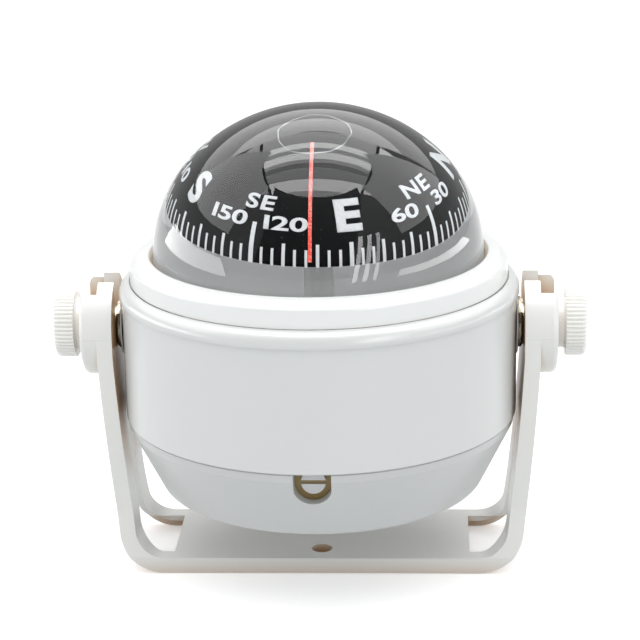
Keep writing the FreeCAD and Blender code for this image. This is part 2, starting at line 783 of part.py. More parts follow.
def make_plug():
    head_top = capsule_bottom_z - seal_thickness
    head = Part.makeCylinder(plug_head_radius, plug_head_height, V(port_circle_radius, 0, head_top - plug_head_height))
    shank = Part.makeCylinder(port_radius, capsule_floor_z - head_top + plug_head_height,
                              V(port_circle_radius, 0, head_top - plug_head_height))
    return turned_about_z(head.fuse(shank), port_angle_deg)


def make_plug_seal():
    low = capsule_bottom_z - seal_thickness
    seal = tube(plug_head_radius - seat_gap, port_radius, low, capsule_bottom_z)
    seal.translate(V(port_circle_radius, 0, 0))
    return turned_about_z(seal, port_angle_deg)


# Card and its pivot

def make_card():
    low = card_z - card_skirt
    return domed_shell((card_radius, card_height), card_wall, card_z, [(card_radius, low), (card_radius - card_wall, low)])


def make_card_hub():
    disc_radius = card_radius - card_wall - running_gap
    return turned([
        (hub_bore_radius, hub_z), (disc_radius, hub_z), (disc_radius, hub_top_z), (hub_tube_radius, hub_top_z),
        (hub_tube_radius, tube_top_z), (hub_bore_radius, tube_top_z),
    ])


def make_card_float():
    inner = hub_tube_radius + seat_gap
    top = hub_top_z + float_height
    middle = (hub_top_z + top) / 2

    def outer(height):
        return dome_radius_at((card_radius, card_height), card_wall + float_gap, height - card_z)

    return turned([
        (inner, hub_top_z), (outer(hub_top_z), hub_top_z), (outer(middle), middle), (outer(top), top), (inner, top),
    ])


def make_card_magnets():
    bars = []
    for place in (-magnet_offset, magnet_offset):
        bar = Part.makeBox(magnet_width, magnet_length, magnet_width,
                           V(place - magnet_width / 2, -magnet_length / 2, hub_z - magnet_width))
        bars.append(turned_about_z(bar, card_heading_deg))
    return Part.makeCompound(bars)


def make_jewel():
    return turned([
        (jewel_cup_radius, jewel_z), (hub_bore_radius, jewel_z), (hub_bore_radius, jewel_z + jewel_height),
        (0, jewel_z + jewel_height), (0, jewel_z + jewel_cup_depth),
    ])


def make_pivot_post():
    needle_foot_z = needle_tip_z - post_needle_cover
    foot_z = capsule_floor_z + post_foot_height
    return turned([
        (0, capsule_bottom_z), (post_spigot_radius, capsule_bottom_z), (post_spigot_radius, capsule_floor_z),
        (post_foot_radius, capsule_floor_z), (post_foot_radius, foot_z), (post_lower_radius, foot_z),
        (post_upper_radius, needle_foot_z), (needle_radius, needle_foot_z),
        (needle_radius, needle_foot_z - needle_seat_depth), (0, needle_foot_z - needle_seat_depth),
    ])


def make_pivot_needle():
    foot_z = needle_tip_z - post_needle_cover - needle_seat_depth
    return turned([
        (0, foot_z), (needle_radius, foot_z), (needle_radius, needle_tip_z - needle_cone),
        (needle_tip_radius, needle_tip_z), (0, needle_tip_z),
    ])


def make_lubber_line():
    """A slim strip along the inside of the dome, on its front meridian."""
    size = (dome_radius, dome_height)
    near = dome_wall + lubber_gap
    outer = dome_steps(size, near, dome_z, lubber_low_deg, lubber_high_deg)
    inner = dome_steps(size, near + lubber_thickness, dome_z, lubber_low_deg, lubber_high_deg)
    face = Part.Face(path_xz(outer + backwards(inner)))
    face.translate(V(0, -lubber_width / 2, 0))
    return turned_about_z(face.extrude(V(0, lubber_width, 0)), -FULL_TURN / 4)


# Compensators, made towards +X

def compensator_shaft():
    end_x = shaft_outer_end
    body = Part.makeCylinder(shaft_radius, end_x - shaft_inner_end, V(shaft_inner_end, 0, shaft_z), X_AXIS)
    collar_x = pocket_back - seat_gap - collar_length
    collar = Part.makeCylinder(collar_radius, collar_length, V(collar_x, 0, shaft_z), X_AXIS)
    slot = Part.makeBox(shaft_slot_depth + OVERRUN, 2 * (shaft_radius + OVERRUN), shaft_slot_width,
                        V(end_x - shaft_slot_depth, -shaft_radius - OVERRUN, shaft_z - shaft_slot_width / 2))
    pin_hole = Part.makeCylinder(magnet_pin_radius, 2 * (shaft_radius + OVERRUN),
                                 V(magnet_pin_place, -shaft_radius - OVERRUN, shaft_z), Y_AXIS)
    return body.fuse(collar).cut(slot).cut(pin_hole)


def compensator_magnet():
    return Part.makeCylinder(magnet_pin_radius, magnet_pin_length,
                             V(magnet_pin_place, -magnet_pin_length / 2, shaft_z), Y_AXIS)


def make_compensator_block():
    top_z = shaft_z + shaft_radius + running_gap + block_cover
    block = Part.makeBox(2 * block_half, 2 * block_half, top_z - bowl_floor_z, V(-block_half, -block_half, bowl_floor_z))
    bore_end = shaft_inner_end - seat_gap
    bore = Part.makeCylinder(shaft_radius + running_gap, block_half + OVERRUN - bore_end,
                             V(bore_end, 0, shaft_z), X_AXIS)
    for degrees in (-FULL_TURN / 4, FULL_TURN / 2):
        block = block.cut(turned_about_z(bore, degrees))
    for place in (-block_screw_place, block_screw_place):
        block = block.cut(block_screw(place, 0))
    return block


def main():
    os.makedirs("parts", exist_ok=True)
    save("bracket", make_bracket())
    for name, side in (("left", LEFT), ("right", RIGHT)):
        save("%s_knob" % name, make_knob(side))
        save("%s_knob_stud" % name, make_stud(side))
        save("%s_pivot_insert" % name, make_insert(side))
    save("case", make_case())
    save("lower_bowl", make_lower_bowl())
    save("case_screws", make_case_screws())
    save("bezel", make_bezel())
    save("dome", make_dome())
    save("dome_gasket", make_gasket())
    save("liquid_bowl", make_liquid_bowl())
    save("diaphragm", make_diaphragm())
    save("diaphragm_ring", make_diaphragm_ring())
    save("fill_plug", make_plug())
    save("fill_plug_seal", make_plug_seal())
    save("pivot_post", make_pivot_post())
    save("pivot_needle", make_pivot_needle())
    save("compass_card", make_card())
    save("card_hub", make_card_hub())
    save("card_float", make_card_float())
    save("card_magnets", make_card_magnets())
    save("jewel_cup", make_jewel())
    save("lubber_line", make_lubber_line())
    save("fore_aft_shaft", turned_about_z(compensator_shaft(), -FULL_TURN / 4))
    save("fore_aft_magnet", turned_about_z(compensator_magnet(), -FULL_TURN / 4))
    save("athwart_shaft", turned_about_z(compensator_shaft(), FULL_TURN / 2))
    save("athwart_magnet", turned_about_z(compensator_magnet(), FULL_TURN / 2))
    save("compensator_block", make_compensator_block())
    save("block_screws", Part.makeCompound([block_screw(-block_screw_place, 0), block_screw(block_screw_place, 0)]))


main()
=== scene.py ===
"""Looks for the bracket-mounted marine compass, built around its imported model.

Sizes inside the functions are millimetres and are turned into metres where a mesh is made.
The compass is read from -Y, the two clamping knobs lie along X, and +Z is up.
"""

import math

import bmesh
import bpy
from bpy.props import FloatProperty, FloatVectorProperty, IntProperty, PointerProperty
from mathutils import Matrix, Vector


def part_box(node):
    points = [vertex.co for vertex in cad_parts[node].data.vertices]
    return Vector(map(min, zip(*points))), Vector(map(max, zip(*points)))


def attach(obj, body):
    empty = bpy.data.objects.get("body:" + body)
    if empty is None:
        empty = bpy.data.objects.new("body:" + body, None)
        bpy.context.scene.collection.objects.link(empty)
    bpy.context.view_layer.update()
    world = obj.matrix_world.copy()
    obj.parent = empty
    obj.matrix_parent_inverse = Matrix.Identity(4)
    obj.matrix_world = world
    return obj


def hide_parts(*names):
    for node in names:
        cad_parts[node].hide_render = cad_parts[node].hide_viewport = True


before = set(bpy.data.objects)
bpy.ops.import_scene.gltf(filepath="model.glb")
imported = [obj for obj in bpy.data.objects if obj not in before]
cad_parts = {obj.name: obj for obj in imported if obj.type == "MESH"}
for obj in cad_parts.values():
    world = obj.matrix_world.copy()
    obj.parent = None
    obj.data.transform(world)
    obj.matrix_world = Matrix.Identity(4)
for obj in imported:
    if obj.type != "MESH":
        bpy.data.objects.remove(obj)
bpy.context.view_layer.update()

bl_info = {
    "name": "Bracket Compass",
    "version": (1, 0, 0),
    "blender": (4, 5, 0),
    "location": "3D View > Sidebar > Compass",
    "description": "Models the mouldings, dome, card and finishes of a bracket-mounted marine compass",
    "category": "Object",
}

MM = 0.001
FULL_TURN = 2 * math.pi
FLAT_DEG = 0.6
PRINT_LIFT = 0.02
PRINT_SKIN = 0.05
PHOTO_PIXELS = 640
FOCAL_PIXELS = 2053.5
SENSOR_WIDTH = 36.0
SIDES = (("left", -1), ("right", 1))


def node_span(node):
    """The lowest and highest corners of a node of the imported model, in millimetres."""
    low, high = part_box(node)
    return low / MM, high / MM


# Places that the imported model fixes
case_low, case_high = node_span("case")
bowl_low = node_span("lower_bowl")[0]
bezel_low, bezel_high = node_span("bezel")
dome_low, dome_high = node_span("dome")
card_high = node_span("compass_card")[1]
stud_low, stud_high = node_span("right_knob_stud")
knob_low, knob_high = node_span("right_knob")
insert_low, insert_high = node_span("right_pivot_insert")
shaft_low, shaft_high = node_span("fore_aft_shaft")
screws_high = node_span("case_screws")[1]
axis_z = (stud_low.z + stud_high.z) / 2
shaft_z = (shaft_low.z + shaft_high.z) / 2
bead_radius = case_high.x
case_radius = bead_radius - 0.5
lip_radius = case_radius - 0.5
seam_z = case_low.z
shoulder_z = case_high.z
bezel_radius = bezel_high.x
dome_radius = 33.5
dome_rise = 30.15
dome_z = dome_high.z - dome_rise
card_radius = card_high.x
card_rise = 17.0
card_z = card_high.z - card_rise
insert_face_x = case_radius + 1.2
ear_outer_x = knob_low.x
knob_head_length = 4.15
recess_half = 3.65
case_screw_head = 2.8
block_screw_place = 6.0
recess_back = lip_radius - 5.4
pivot_z = 81.0
tent_centre_z = 85.0


# Shaping helpers

def deselect():
    if bpy.context.mode != "OBJECT":
        bpy.ops.object.mode_set(mode="OBJECT")
    bpy.ops.object.select_all(action="DESELECT")


def name_active(name):
    piece = bpy.context.active_object
    piece.name = name
    piece.data.name = name
    return piece


def work_on(piece):
    deselect()
    piece.select_set(True)
    bpy.context.view_layer.objects.active = piece


def delete(piece):
    deselect()
    piece.select_set(True)
    bpy.ops.object.delete()


def add_object(name, mesh):
    piece = bpy.data.objects.new(name, mesh)
    bpy.context.scene.collection.objects.link(piece)
    return piece


def select_whole():
    bpy.ops.mesh.select_all(action="SELECT")


def leave_edit():
    bpy.ops.object.mode_set(mode="OBJECT")


def extrude(move):
    bpy.ops.mesh.extrude_region_move(TRANSFORM_OT_translate={"value": move})


def edit(piece, mode="VERT"):
    work_on(piece)
    bpy.ops.object.mode_set(mode="EDIT")
    bpy.ops.mesh.select_mode(type=mode)


def pick(piece, kind, wanted):
    """Selects, in edit mode, only the vertices, edges or faces that the test accepts."""
    bpy.ops.mesh.select_mode(type={"verts": "VERT", "edges": "EDGE", "faces": "FACE"}[kind])
    bpy.ops.mesh.select_all(action="DESELECT")
    mesh = bmesh.from_edit_mesh(piece.data)
    for element in getattr(mesh, kind):
        if wanted(element):
            element.select_set(True)
    mesh.select_flush_mode()
    bmesh.update_edit_mesh(piece.data)


def tidy_mesh(merge=0.002):
    """Joins doubled vertices and points every face outwards, in edit mode."""
    select_whole()
    bpy.ops.mesh.remove_doubles(threshold=merge * MM)
    select_whole()
    bpy.ops.mesh.normals_make_consistent(inside=False)


def smooth(piece, degrees=32):
    work_on(piece)
    bpy.ops.object.shade_smooth_by_angle(angle=math.radians(degrees))
    return piece


def add_modifier(piece, kind, **settings):
    work_on(piece)
    bpy.ops.object.modifier_add(type=kind)
    modifier = piece.modifiers[-1]
    for key, value in settings.items():
        setattr(modifier, key, value)
    bpy.ops.object.modifier_apply(modifier=modifier.name)
    return piece


def cut_with(piece, tool, operation="DIFFERENCE"):
    add_modifier(piece, "BOOLEAN", operation=operation, object=tool, solver="EXACT")
    delete(tool)
    return piece


def place(piece, location=(0, 0, 0), turn=(0, 0, 0)):
    """Moves and turns a piece about the origin, then puts its place into its mesh."""
    work_on(piece)
    piece.rotation_euler = turn
    piece.location = Vector(location) * MM
    bpy.ops.object.transform_apply(location=True, rotation=True, scale=True)
    return piece


def direction(azimuth, elevation):
    """The way from the compass to a place round it, its azimuth counted from the reading side."""
    return Vector((math.sin(azimuth) * math.cos(elevation), -math.cos(azimuth) * math.cos(elevation),
                   math.sin(elevation)))


def arc_points(centre, radius, first_deg, last_deg, count):
    """Points of an arc in the XZ plane, angles counted from +X towards +Z."""
    points = []
    for index in range(count + 1):
        angle = math.radians(first_deg + (last_deg - first_deg) * index / count)
        points.append((centre[0] + radius * math.cos(angle), centre[1] + radius * math.sin(angle)))
    return points


def rounded(points, radii, count=6):
    """A profile whose corners named in radii, by their place in the list, are replaced by arcs."""
    result = []
    for index, point in enumerate(points):
        radius = radii.get(index, 0)
        here = Vector(point)
        before = Vector(points[index - 1])
        after = Vector(points[(index + 1) % len(points)])
        if not radius:
            result.append(tuple(here))
            continue
        to_before = (before - here).normalized()
        to_after = (after - here).normalized()
        half = to_before.angle(to_after) / 2
        reach = radius / math.tan(half)
        centre = here + (to_before + to_after).normalized() * (radius / math.sin(half))
        start = here + to_before * reach - centre
        swing = start.angle_signed(here + to_after * reach - centre)
        for step in range(count + 1):
            turned = start.copy()
            turned.rotate(Matrix.Rotation(-swing * step / count, 2))
            result.append(tuple(centre + turned))
    return result


def dome_arcs(radius, rise):
    """The radii of the side and crown arcs of a dome's meridian, and the slope where they meet."""
    chord = math.hypot(radius, rise)
    spare = radius - rise
    side = chord * (chord - spare) / (2 * radius)
    crown = chord * (chord + spare) / (2 * rise)
    return side, crown, math.degrees(math.atan2(crown - rise, radius - side))


def dome_meridian(radius, rise, base_z, count, inset=0.0):
    """Points of a dome's meridian from its side up to the axis, at a depth in from its surface."""
    side, crown, join = dome_arcs(radius, rise)
    points = arc_points((radius - side, base_z), side - inset, 0.0, join, count)
    points += arc_points((0, base_z + rise - crown), crown - inset, join, 90, count)[1:]
    points[-1] = (0.0, points[-1][1])
    return points


def meridian_radius(radius, rise, height):
    """The dome's radius at a height above its widest section."""
    side, crown, join = dome_arcs(radius, rise)
    if height < side * math.sin(math.radians(join)):
        return radius - side + math.sqrt(max(side * side - height * height, 0))
    return math.sqrt(max(crown * crown - (height - rise + crown) ** 2, 0))


def spun(name, points, steps=192, degrees=32, closed=True):
    """Draws a profile edge by edge in the XZ plane and spins it round the upright axis."""
    deselect()
    bpy.ops.mesh.primitive_plane_add(size=10 * MM)
    piece = name_active(name)
    edit(piece)
    select_whole()
    bpy.ops.mesh.merge(type="CENTER")
    bpy.ops.transform.translate(value=(points[0][0] * MM, 0, points[0][1] * MM))
    path = list(points) + ([points[0]] if closed else [])
    for here, there in zip(path, path[1:]):
        move = ((there[0] - here[0]) * MM, 0, (there[1] - here[1]) * MM)
        extrude(move)
    select_whole()
    bpy.ops.mesh.spin(steps=steps, angle=FULL_TURN, center=(0, 0, 0), axis=(0, 0, 1))
    tidy_mesh()
    leave_edit()
    return smooth(piece, degrees)


def copy_of_node(node, name):
    """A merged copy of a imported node's mesh, with its flat faces joined."""
    piece = add_object(name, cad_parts[node].data.copy())
    piece.data.name = name
    work_on(piece)
    if piece.data.has_custom_normals:
        bpy.ops.mesh.customdata_custom_splitnormals_clear()
    edit(piece)
    tidy_mesh(0.004)
    select_whole()
    bpy.ops.mesh.dissolve_limited(angle_limit=math.radians(FLAT_DEG))
    leave_edit()
    return piece


def finish_piece(piece, finish, body, slot, *nodes):
    """Gives a piece its material and its body, and hides the nodes that it stands for. The slot is not used."""
    piece.data.materials.clear()
    piece.data.materials.append(finish)
    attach(piece, body)
    if nodes:
        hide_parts(*nodes)
    return piece


# Finishes

class Value:
    """A node's output with arithmetic: an expression on values adds its Math nodes."""

    def __init__(self, tree, socket):
        self.tree = tree
        self.socket = socket

    def math(self, operation, *others, clamp=False):
        node = self.tree.nodes.new("ShaderNodeMath")
        node.operation = operation
        node.use_clamp = clamp
        for slot, value in enumerate(others):
            if isinstance(value, Value):
                self.tree.links.new(value.socket, node.inputs[slot])
            else:
                node.inputs[slot].default_value = value
        return Value(self.tree, node.outputs[0])

    def __add__(self, other):
        return self.math("ADD", self, other)

    def __sub__(self, other):
        return self.math("SUBTRACT", self, other)

    def __rsub__(self, other):
        return self.math("SUBTRACT", other, self)

    def __mul__(self, other):
        return self.math("MULTIPLY", self, other)

    def __truediv__(self, other):
        return self.math("DIVIDE", self, other)

    def size(self):
        return self.math("ABSOLUTE", self)

    def clamped(self):
        return self.math("ADD", self, 0.0, clamp=True)

    def above(self, level, soft):
        """Goes from 0 to 1 as the value rises past a level, over twice the softness."""
        return ((self - (level - soft)) / (2 * soft)).clamped()

    def below(self, level, soft):
        return 1 - self.above(level, soft)


class Finish:
    """A material, or the world, that is built node by node."""

    def __init__(self, name, kind="material"):
        store = bpy.data.materials if kind == "material" else bpy.data.worlds
        self.material = store.new(name)
        self.material.use_nodes = True
        self.tree = self.material.node_tree
        self.tree.nodes.clear()

    def add(self, kind, settings=None, inputs=None, output=0):
        node = self.tree.nodes.new(kind)
        for key, value in (settings or {}).items():
            setattr(node, key, value)
        for key, value in (inputs or {}).items():
            if isinstance(value, Value):
                self.tree.links.new(value.socket, node.inputs[key])
            else:
                node.inputs[key].default_value = value
        return Value(self.tree, node.outputs[output])

    def place(self, scale):
        """Object coordinates, in metres, scaled."""
        coordinates = self.add("ShaderNodeTexCoord", output="Object")
        return self.add("ShaderNodeMapping", inputs={"Vector": coordinates, "Scale": scale})

    def parts(self):
        """The X, Y and Z of the object coordinates, in millimetres."""
        split = self.tree.nodes.new("ShaderNodeSeparateXYZ")
        self.tree.links.new(self.place((1000, 1000, 1000)).socket, split.inputs[0])
        return [Value(self.tree, socket) for socket in split.outputs]

    def noise(self, scale, detail=3.0, roughness=0.55, stretch=(1, 1, 1)):
        return self.add("ShaderNodeTexNoise", inputs={
            "Vector": self.place(stretch), "Scale": scale, "Detail": detail, "Roughness": roughness}, output="Fac")

    def mix(self, factor, first, second):
        """A colour between two colours."""
        return self.add("ShaderNodeMix", {"data_type": "RGBA"},
                        {0: factor, 6: colour(first), 7: colour(second)}, output=2)

    def seen(self):
        """1 where the camera sees the surface itself, also through clear parts, and 0 where it only lights."""
        path = self.tree.nodes.new("ShaderNodeLightPath")
        value = {name: Value(self.tree, path.outputs[name]) for name in (
            "Is Camera Ray", "Is Transmission Ray", "Diffuse Depth", "Glossy Depth")}
        straight = (1 - (value["Diffuse Depth"] + value["Glossy Depth"])).clamped()
        through = value["Is Transmission Ray"] * straight
        return through.math("MAXIMUM", through, value["Is Camera Ray"])

    def bump(self, height, distance_mm):
        return self.add("ShaderNodeBump", inputs={"Height": height, "Distance": distance_mm * MM, "Strength": 1.0})

    def open_sky(self, reach):
        """1 on an open surface and less in a hollow, looked for within a reach in millimetres."""
        return self.add("ShaderNodeAmbientOcclusion", {"samples": 6}, {"Distance": reach * MM}, output="AO")

    def surface(self, **sockets):
        inputs = {key.replace("_", " "): value for key, value in sockets.items()}
        return self.add("ShaderNodeBsdfPrincipled", inputs=inputs)

    def done(self, shader):
        node = self.tree.nodes.new("ShaderNodeOutputMaterial")
        self.tree.links.new(shader.socket, node.inputs["Surface"])
        return self.material


def colour(value):
    if isinstance(value, Value):
        return value
    return tuple(value)[:3] + (1.0,)


def shade(value, factor):
    return tuple(channel * factor for channel in tuple(value)[:3])


def moulded_finish(name, tone, roughness=0.32, grain=0.004, crevice=(0.50, 0.33, 0.15), crevice_reach=3.0,
                   crevice_share=0.75, crevice_level=0.38, marks=None, specular=0.5,
                   patch=None, patch_tone=(0, 0, 0)):
    """Injection-moulded plastic: faint flow mottling, a fine orange-peel, and painted shade that darkens and tints its
    hollows.
    """
    finish = Finish(name)
    flow = finish.noise(38, 3.0, 0.5, (1, 1, 0.45))
    cloud = finish.noise(190, 2.0, 0.5)
    toned = finish.mix((flow * 0.7 + cloud * 0.3).above(0.5, 0.16), shade(tone, 0.985), tone)
    # Painted shade: where ambient occlusion finds a hollow, the colour is mixed towards a darker, tinted shade tone.
    toned = finish.mix(finish.open_sky(crevice_reach).below(crevice_level, 0.30) * crevice_share, toned, crevice)
    # Painted shade where a mask is given: the colour is mixed towards its darker tone.
    if patch:
        toned = finish.mix(patch(finish), toned, patch_tone)
    peel = finish.noise(1500, 2.0, 0.6)
    wave = finish.noise(160, 1.0, 0.4)
    height = peel * 0.15 + wave * 0.85
    if marks:
        height = height + marks(finish)
    scuff = finish.noise(60, 2.0, 0.5)
    return finish.done(finish.surface(
        Base_Color=toned, Roughness=scuff * 0.04 + (roughness - 0.02),
        Specular_IOR_Level=specular, Normal=finish.bump(height, grain)))


def clear_finish(name, tint, index, see_through_shadow=True):
    """Polished clear plastic or liquid that lets direct light through to what is inside."""
    finish = Finish(name)
    ripple = finish.noise(30, 1.0, 0.3)
    glass = finish.surface(
        Base_Color=finish.mix(finish.noise(60, 2.0) * 0.5, tint, shade(tint, 0.99)), Roughness=0.0, IOR=index,
        Transmission_Weight=1.0, Normal=finish.bump(ripple, 0.02))
    if not see_through_shadow:
        return finish.done(glass)
    clear = finish.add("ShaderNodeBsdfTransparent", inputs={"Color": (0.985, 0.99, 0.995, 1)})
    is_shadow = finish.add("ShaderNodeLightPath", output="Is Shadow Ray")
    return finish.done(finish.add("ShaderNodeMixShader", inputs={0: is_shadow, 1: glass, 2: clear}))


def metal_finish(name, tone, roughness, hollow_shade=None):
    """Turned or plated metal with fine tool marks, patches of tarnish and, where asked, painted shade in its hollows.
    """
    finish = Finish(name)
    marks = finish.noise(2600, 3.0, 0.6)
    stain = finish.noise(240, 3.0, 0.6)
    toned = finish.mix(stain.above(0.52, 0.16), tone, shade(tone, 0.62))
    # Painted shade: where ambient occlusion finds a hollow, the colour is mixed towards a dark tone.
    if hollow_shade:
        toned = finish.mix(finish.open_sky(0.8).below(0.60, 0.22), toned, hollow_shade)
    return finish.done(finish.surface(
        Base_Color=toned, Metallic=0.92, Roughness=stain * 0.22 + roughness, Normal=finish.bump(marks, 0.02)))


def rubber_finish(name, tone):
    finish = Finish(name)
    bloom = finish.noise(300, 4.0, 0.6)
    toned = finish.mix(bloom, shade(tone, 0.8), shade(tone, 1.5))
    return finish.done(finish.surface(
        Base_Color=toned, Roughness=bloom * 0.15 + 0.6, Normal=finish.bump(finish.noise(2200, 2.0), 0.02)))


# Sizes, colours and stage values that a user would change

class MouldingSettings(bpy.types.PropertyGroup):
    edge_round: FloatProperty(
        name="Edge rounding", description="Radius of the bracket's moulded edges",
        default=0.30 * MM, min=0.05 * MM, max=1.0 * MM, subtype="DISTANCE", unit="LENGTH")
    rib_count: IntProperty(
        name="Knob ribs", description="Number of ribs round each clamping knob", default=50, min=12, max=90)
    rib_depth: FloatProperty(
        name="Rib depth", description="Depth of the knob's ribs",
        default=0.38 * MM, min=0.05 * MM, max=1.0 * MM, subtype="DISTANCE", unit="LENGTH")


class DialSettings(bpy.types.PropertyGroup):
    heading: FloatProperty(
        name="Heading", description="Bearing that lies under the lubber line",
        default=math.radians(108.0), subtype="ANGLE", unit="ROTATION")
    dip: FloatProperty(
        name="Dip", description="How far the card leans down towards the reader",
        default=math.radians(2.5), subtype="ANGLE", unit="ROTATION")
    list_angle: FloatProperty(
        name="List", description="How far the card leans down to the right",
        default=math.radians(1.0), subtype="ANGLE", unit="ROTATION")
    tick_width: FloatProperty(
        name="Tick width", description="Width of the short bearing marks",
        default=0.50 * MM, min=0.1 * MM, max=1.5 * MM, subtype="DISTANCE", unit="LENGTH")
    letter_height: FloatProperty(
        name="Letter height", description="Height of the four cardinal letters",
        default=5.95 * MM, min=2 * MM, max=10 * MM, subtype="DISTANCE", unit="LENGTH")
    number_height: FloatProperty(
        name="Number height", description="Height of the bearing numbers",
        default=2.55 * MM, min=1 * MM, max=5 * MM, subtype="DISTANCE", unit="LENGTH")


class ColourSettings(bpy.types.PropertyGroup):
    plastic: FloatVectorProperty(
        name="White plastic", description="Colour of the case, bowl, bezel and bracket",
        subtype="COLOR", size=3, default=(0.83, 0.845, 0.84), min=0, max=1)
    knob: FloatVectorProperty(
        name="Knob plastic", description="Colour of the two clamping knobs",
        subtype="COLOR", size=3, default=(0.91, 0.91, 0.885), min=0, max=1)
    card: FloatVectorProperty(
        name="Card", description="Ground colour of the compass card",
        subtype="COLOR", size=3, default=(0.006, 0.0065, 0.007), min=0, max=1)
    print_white: FloatVectorProperty(
        name="Print", description="Colour of the marks, numbers and letters",
        subtype="COLOR", size=3, default=(0.93, 0.96, 0.98), min=0, max=1)
    lubber: FloatVectorProperty(
        name="Lubber line", description="Colour of the lubber line",
        subtype="COLOR", size=3, default=(0.80, 0.05, 0.035), min=0, max=1)


class StageSettings(bpy.types.PropertyGroup):
    distance: FloatProperty(
        name="Camera distance", description="Distance of the camera from the compass",
        default=0.420, min=0.1, max=2.0, subtype="DISTANCE", unit="LENGTH")
    elevation: FloatProperty(
        name="Camera elevation", description="Angle of the camera above the level",
        default=math.radians(17.28), subtype="ANGLE", unit="ROTATION")
    azimuth: FloatProperty(
        name="Camera azimuth", description="Turn of the camera to the right of the reading side",
        default=math.radians(3.01), subtype="ANGLE", unit="ROTATION")
    roll: FloatProperty(
        name="Camera roll", description="Tilt of the camera about its own line of sight",
        default=math.radians(-1.11), subtype="ANGLE", unit="ROTATION")
    key_power: FloatProperty(
        name="Key light", description="Power of the soft light over the compass",
        default=1.1, min=0, max=50, unit="POWER")
    fill: FloatProperty(
        name="Fill", description="Level of the even light from the room", default=1.0, min=0, max=2)


def settings():
    scene = bpy.context.scene
    return scene.compass_moulding, scene.compass_dial, scene.compass_colours, scene.compass_stage


def white_plastic(name, tone_and_shade_factor=1.0, **options):
    colours = settings()[2]
    # The factor scales the shared white: partly a part's own tone, and for the case, bowl and bezel painted light and
    # shade.
    return moulded_finish(name, shade(colours.plastic, tone_and_shade_factor), **options)


# Pieces

class COMPASS_OT_case(bpy.types.Operator):
    """Model the upper body shell with its rolled shoulder"""
    bl_idname = "compass.case"
    bl_label = "Case"

    def execute(self, context):
        bead_z = shoulder_z - 3.3
        shelf_z = shoulder_z - 4.2
        inner = case_radius - 2.0
        profile = [
            (inner, seam_z), (case_radius - 0.25, seam_z), (case_radius, seam_z + 0.25),
            (case_radius, bead_z - 0.12), (bead_radius - 0.1, bead_z), (bead_radius, bead_z + 0.3),
        ]
        profile += arc_points((bead_radius - 2.55, bead_z + 0.72), 2.55, 4, 80, 12)
        profile += [
            (bezel_radius + 0.25, shoulder_z - 0.02), (bezel_radius + 0.1, shoulder_z - 0.3),
            (bezel_radius - 1.0, shoulder_z - 0.3), (bezel_radius - 1.0, shelf_z), (33.6, shelf_z),
            (33.6, shelf_z - 1.8), (inner, shelf_z - 1.8),
        ]
        piece = spun("case_shell", profile, degrees=28)
        # Painted shade: the case is darkened to 0.84 of the shared white for the lesser light on its upright wall, and
        # its hollows get grey painted shade.
        finish = white_plastic("case plastic", 0.84, roughness=0.26, grain=0.003, crevice=(0.42, 0.44, 0.45))
        finish_piece(piece, finish, "housing", "case_plastic", "case")
        for name, side in SIDES:
            boss = spun(name + "_case_boss", rounded(
                [(3.8, 0), (6.4, 0), (6.4, 0.35), (3.8, 0.35)], {2: 0.25}, 4), steps=72)
            place(boss, (side * (case_radius - 0.2), 0, axis_z), (0, side * math.pi / 2, 0))
            finish_piece(boss, finish, "housing", "case_plastic")
        return {"FINISHED"}


def recess_bar(name, radius, start, end, turn):
    """A level bar from the middle outwards, round below and straight above the adjuster's axis."""
    deselect()
    bpy.ops.mesh.primitive_circle_add(vertices=64, radius=radius * MM, fill_type="NGON")
    piece = name_active(name)
    edit(piece, "FACE")
    select_whole()
    extrude((0, 0, (end - start) * MM))
    upper_half_rise = 6
    pick(piece, "verts", lambda v: v.co.y > -0.01 * MM)
    bpy.ops.transform.translate(value=(0, upper_half_rise * MM, 0))
    tidy_mesh()
    leave_edit()
    place(piece, (0, 0, 0), (math.pi / 2, 0, 0))
    place(piece, (0, -start, shaft_z))
    return place(piece, (0, 0, 0), (0, 0, turn))


def sink(x, y, bottom, lower_radius, upper_radius, height):
    """An upright cutting cone or cylinder for a screw from below."""
    deselect()
    bpy.ops.mesh.primitive_cone_add(
        vertices=48, radius1=lower_radius * MM, radius2=upper_radius * MM, depth=height * MM)
    return place(name_active("screw_sink"), (x, y, bottom + height / 2))


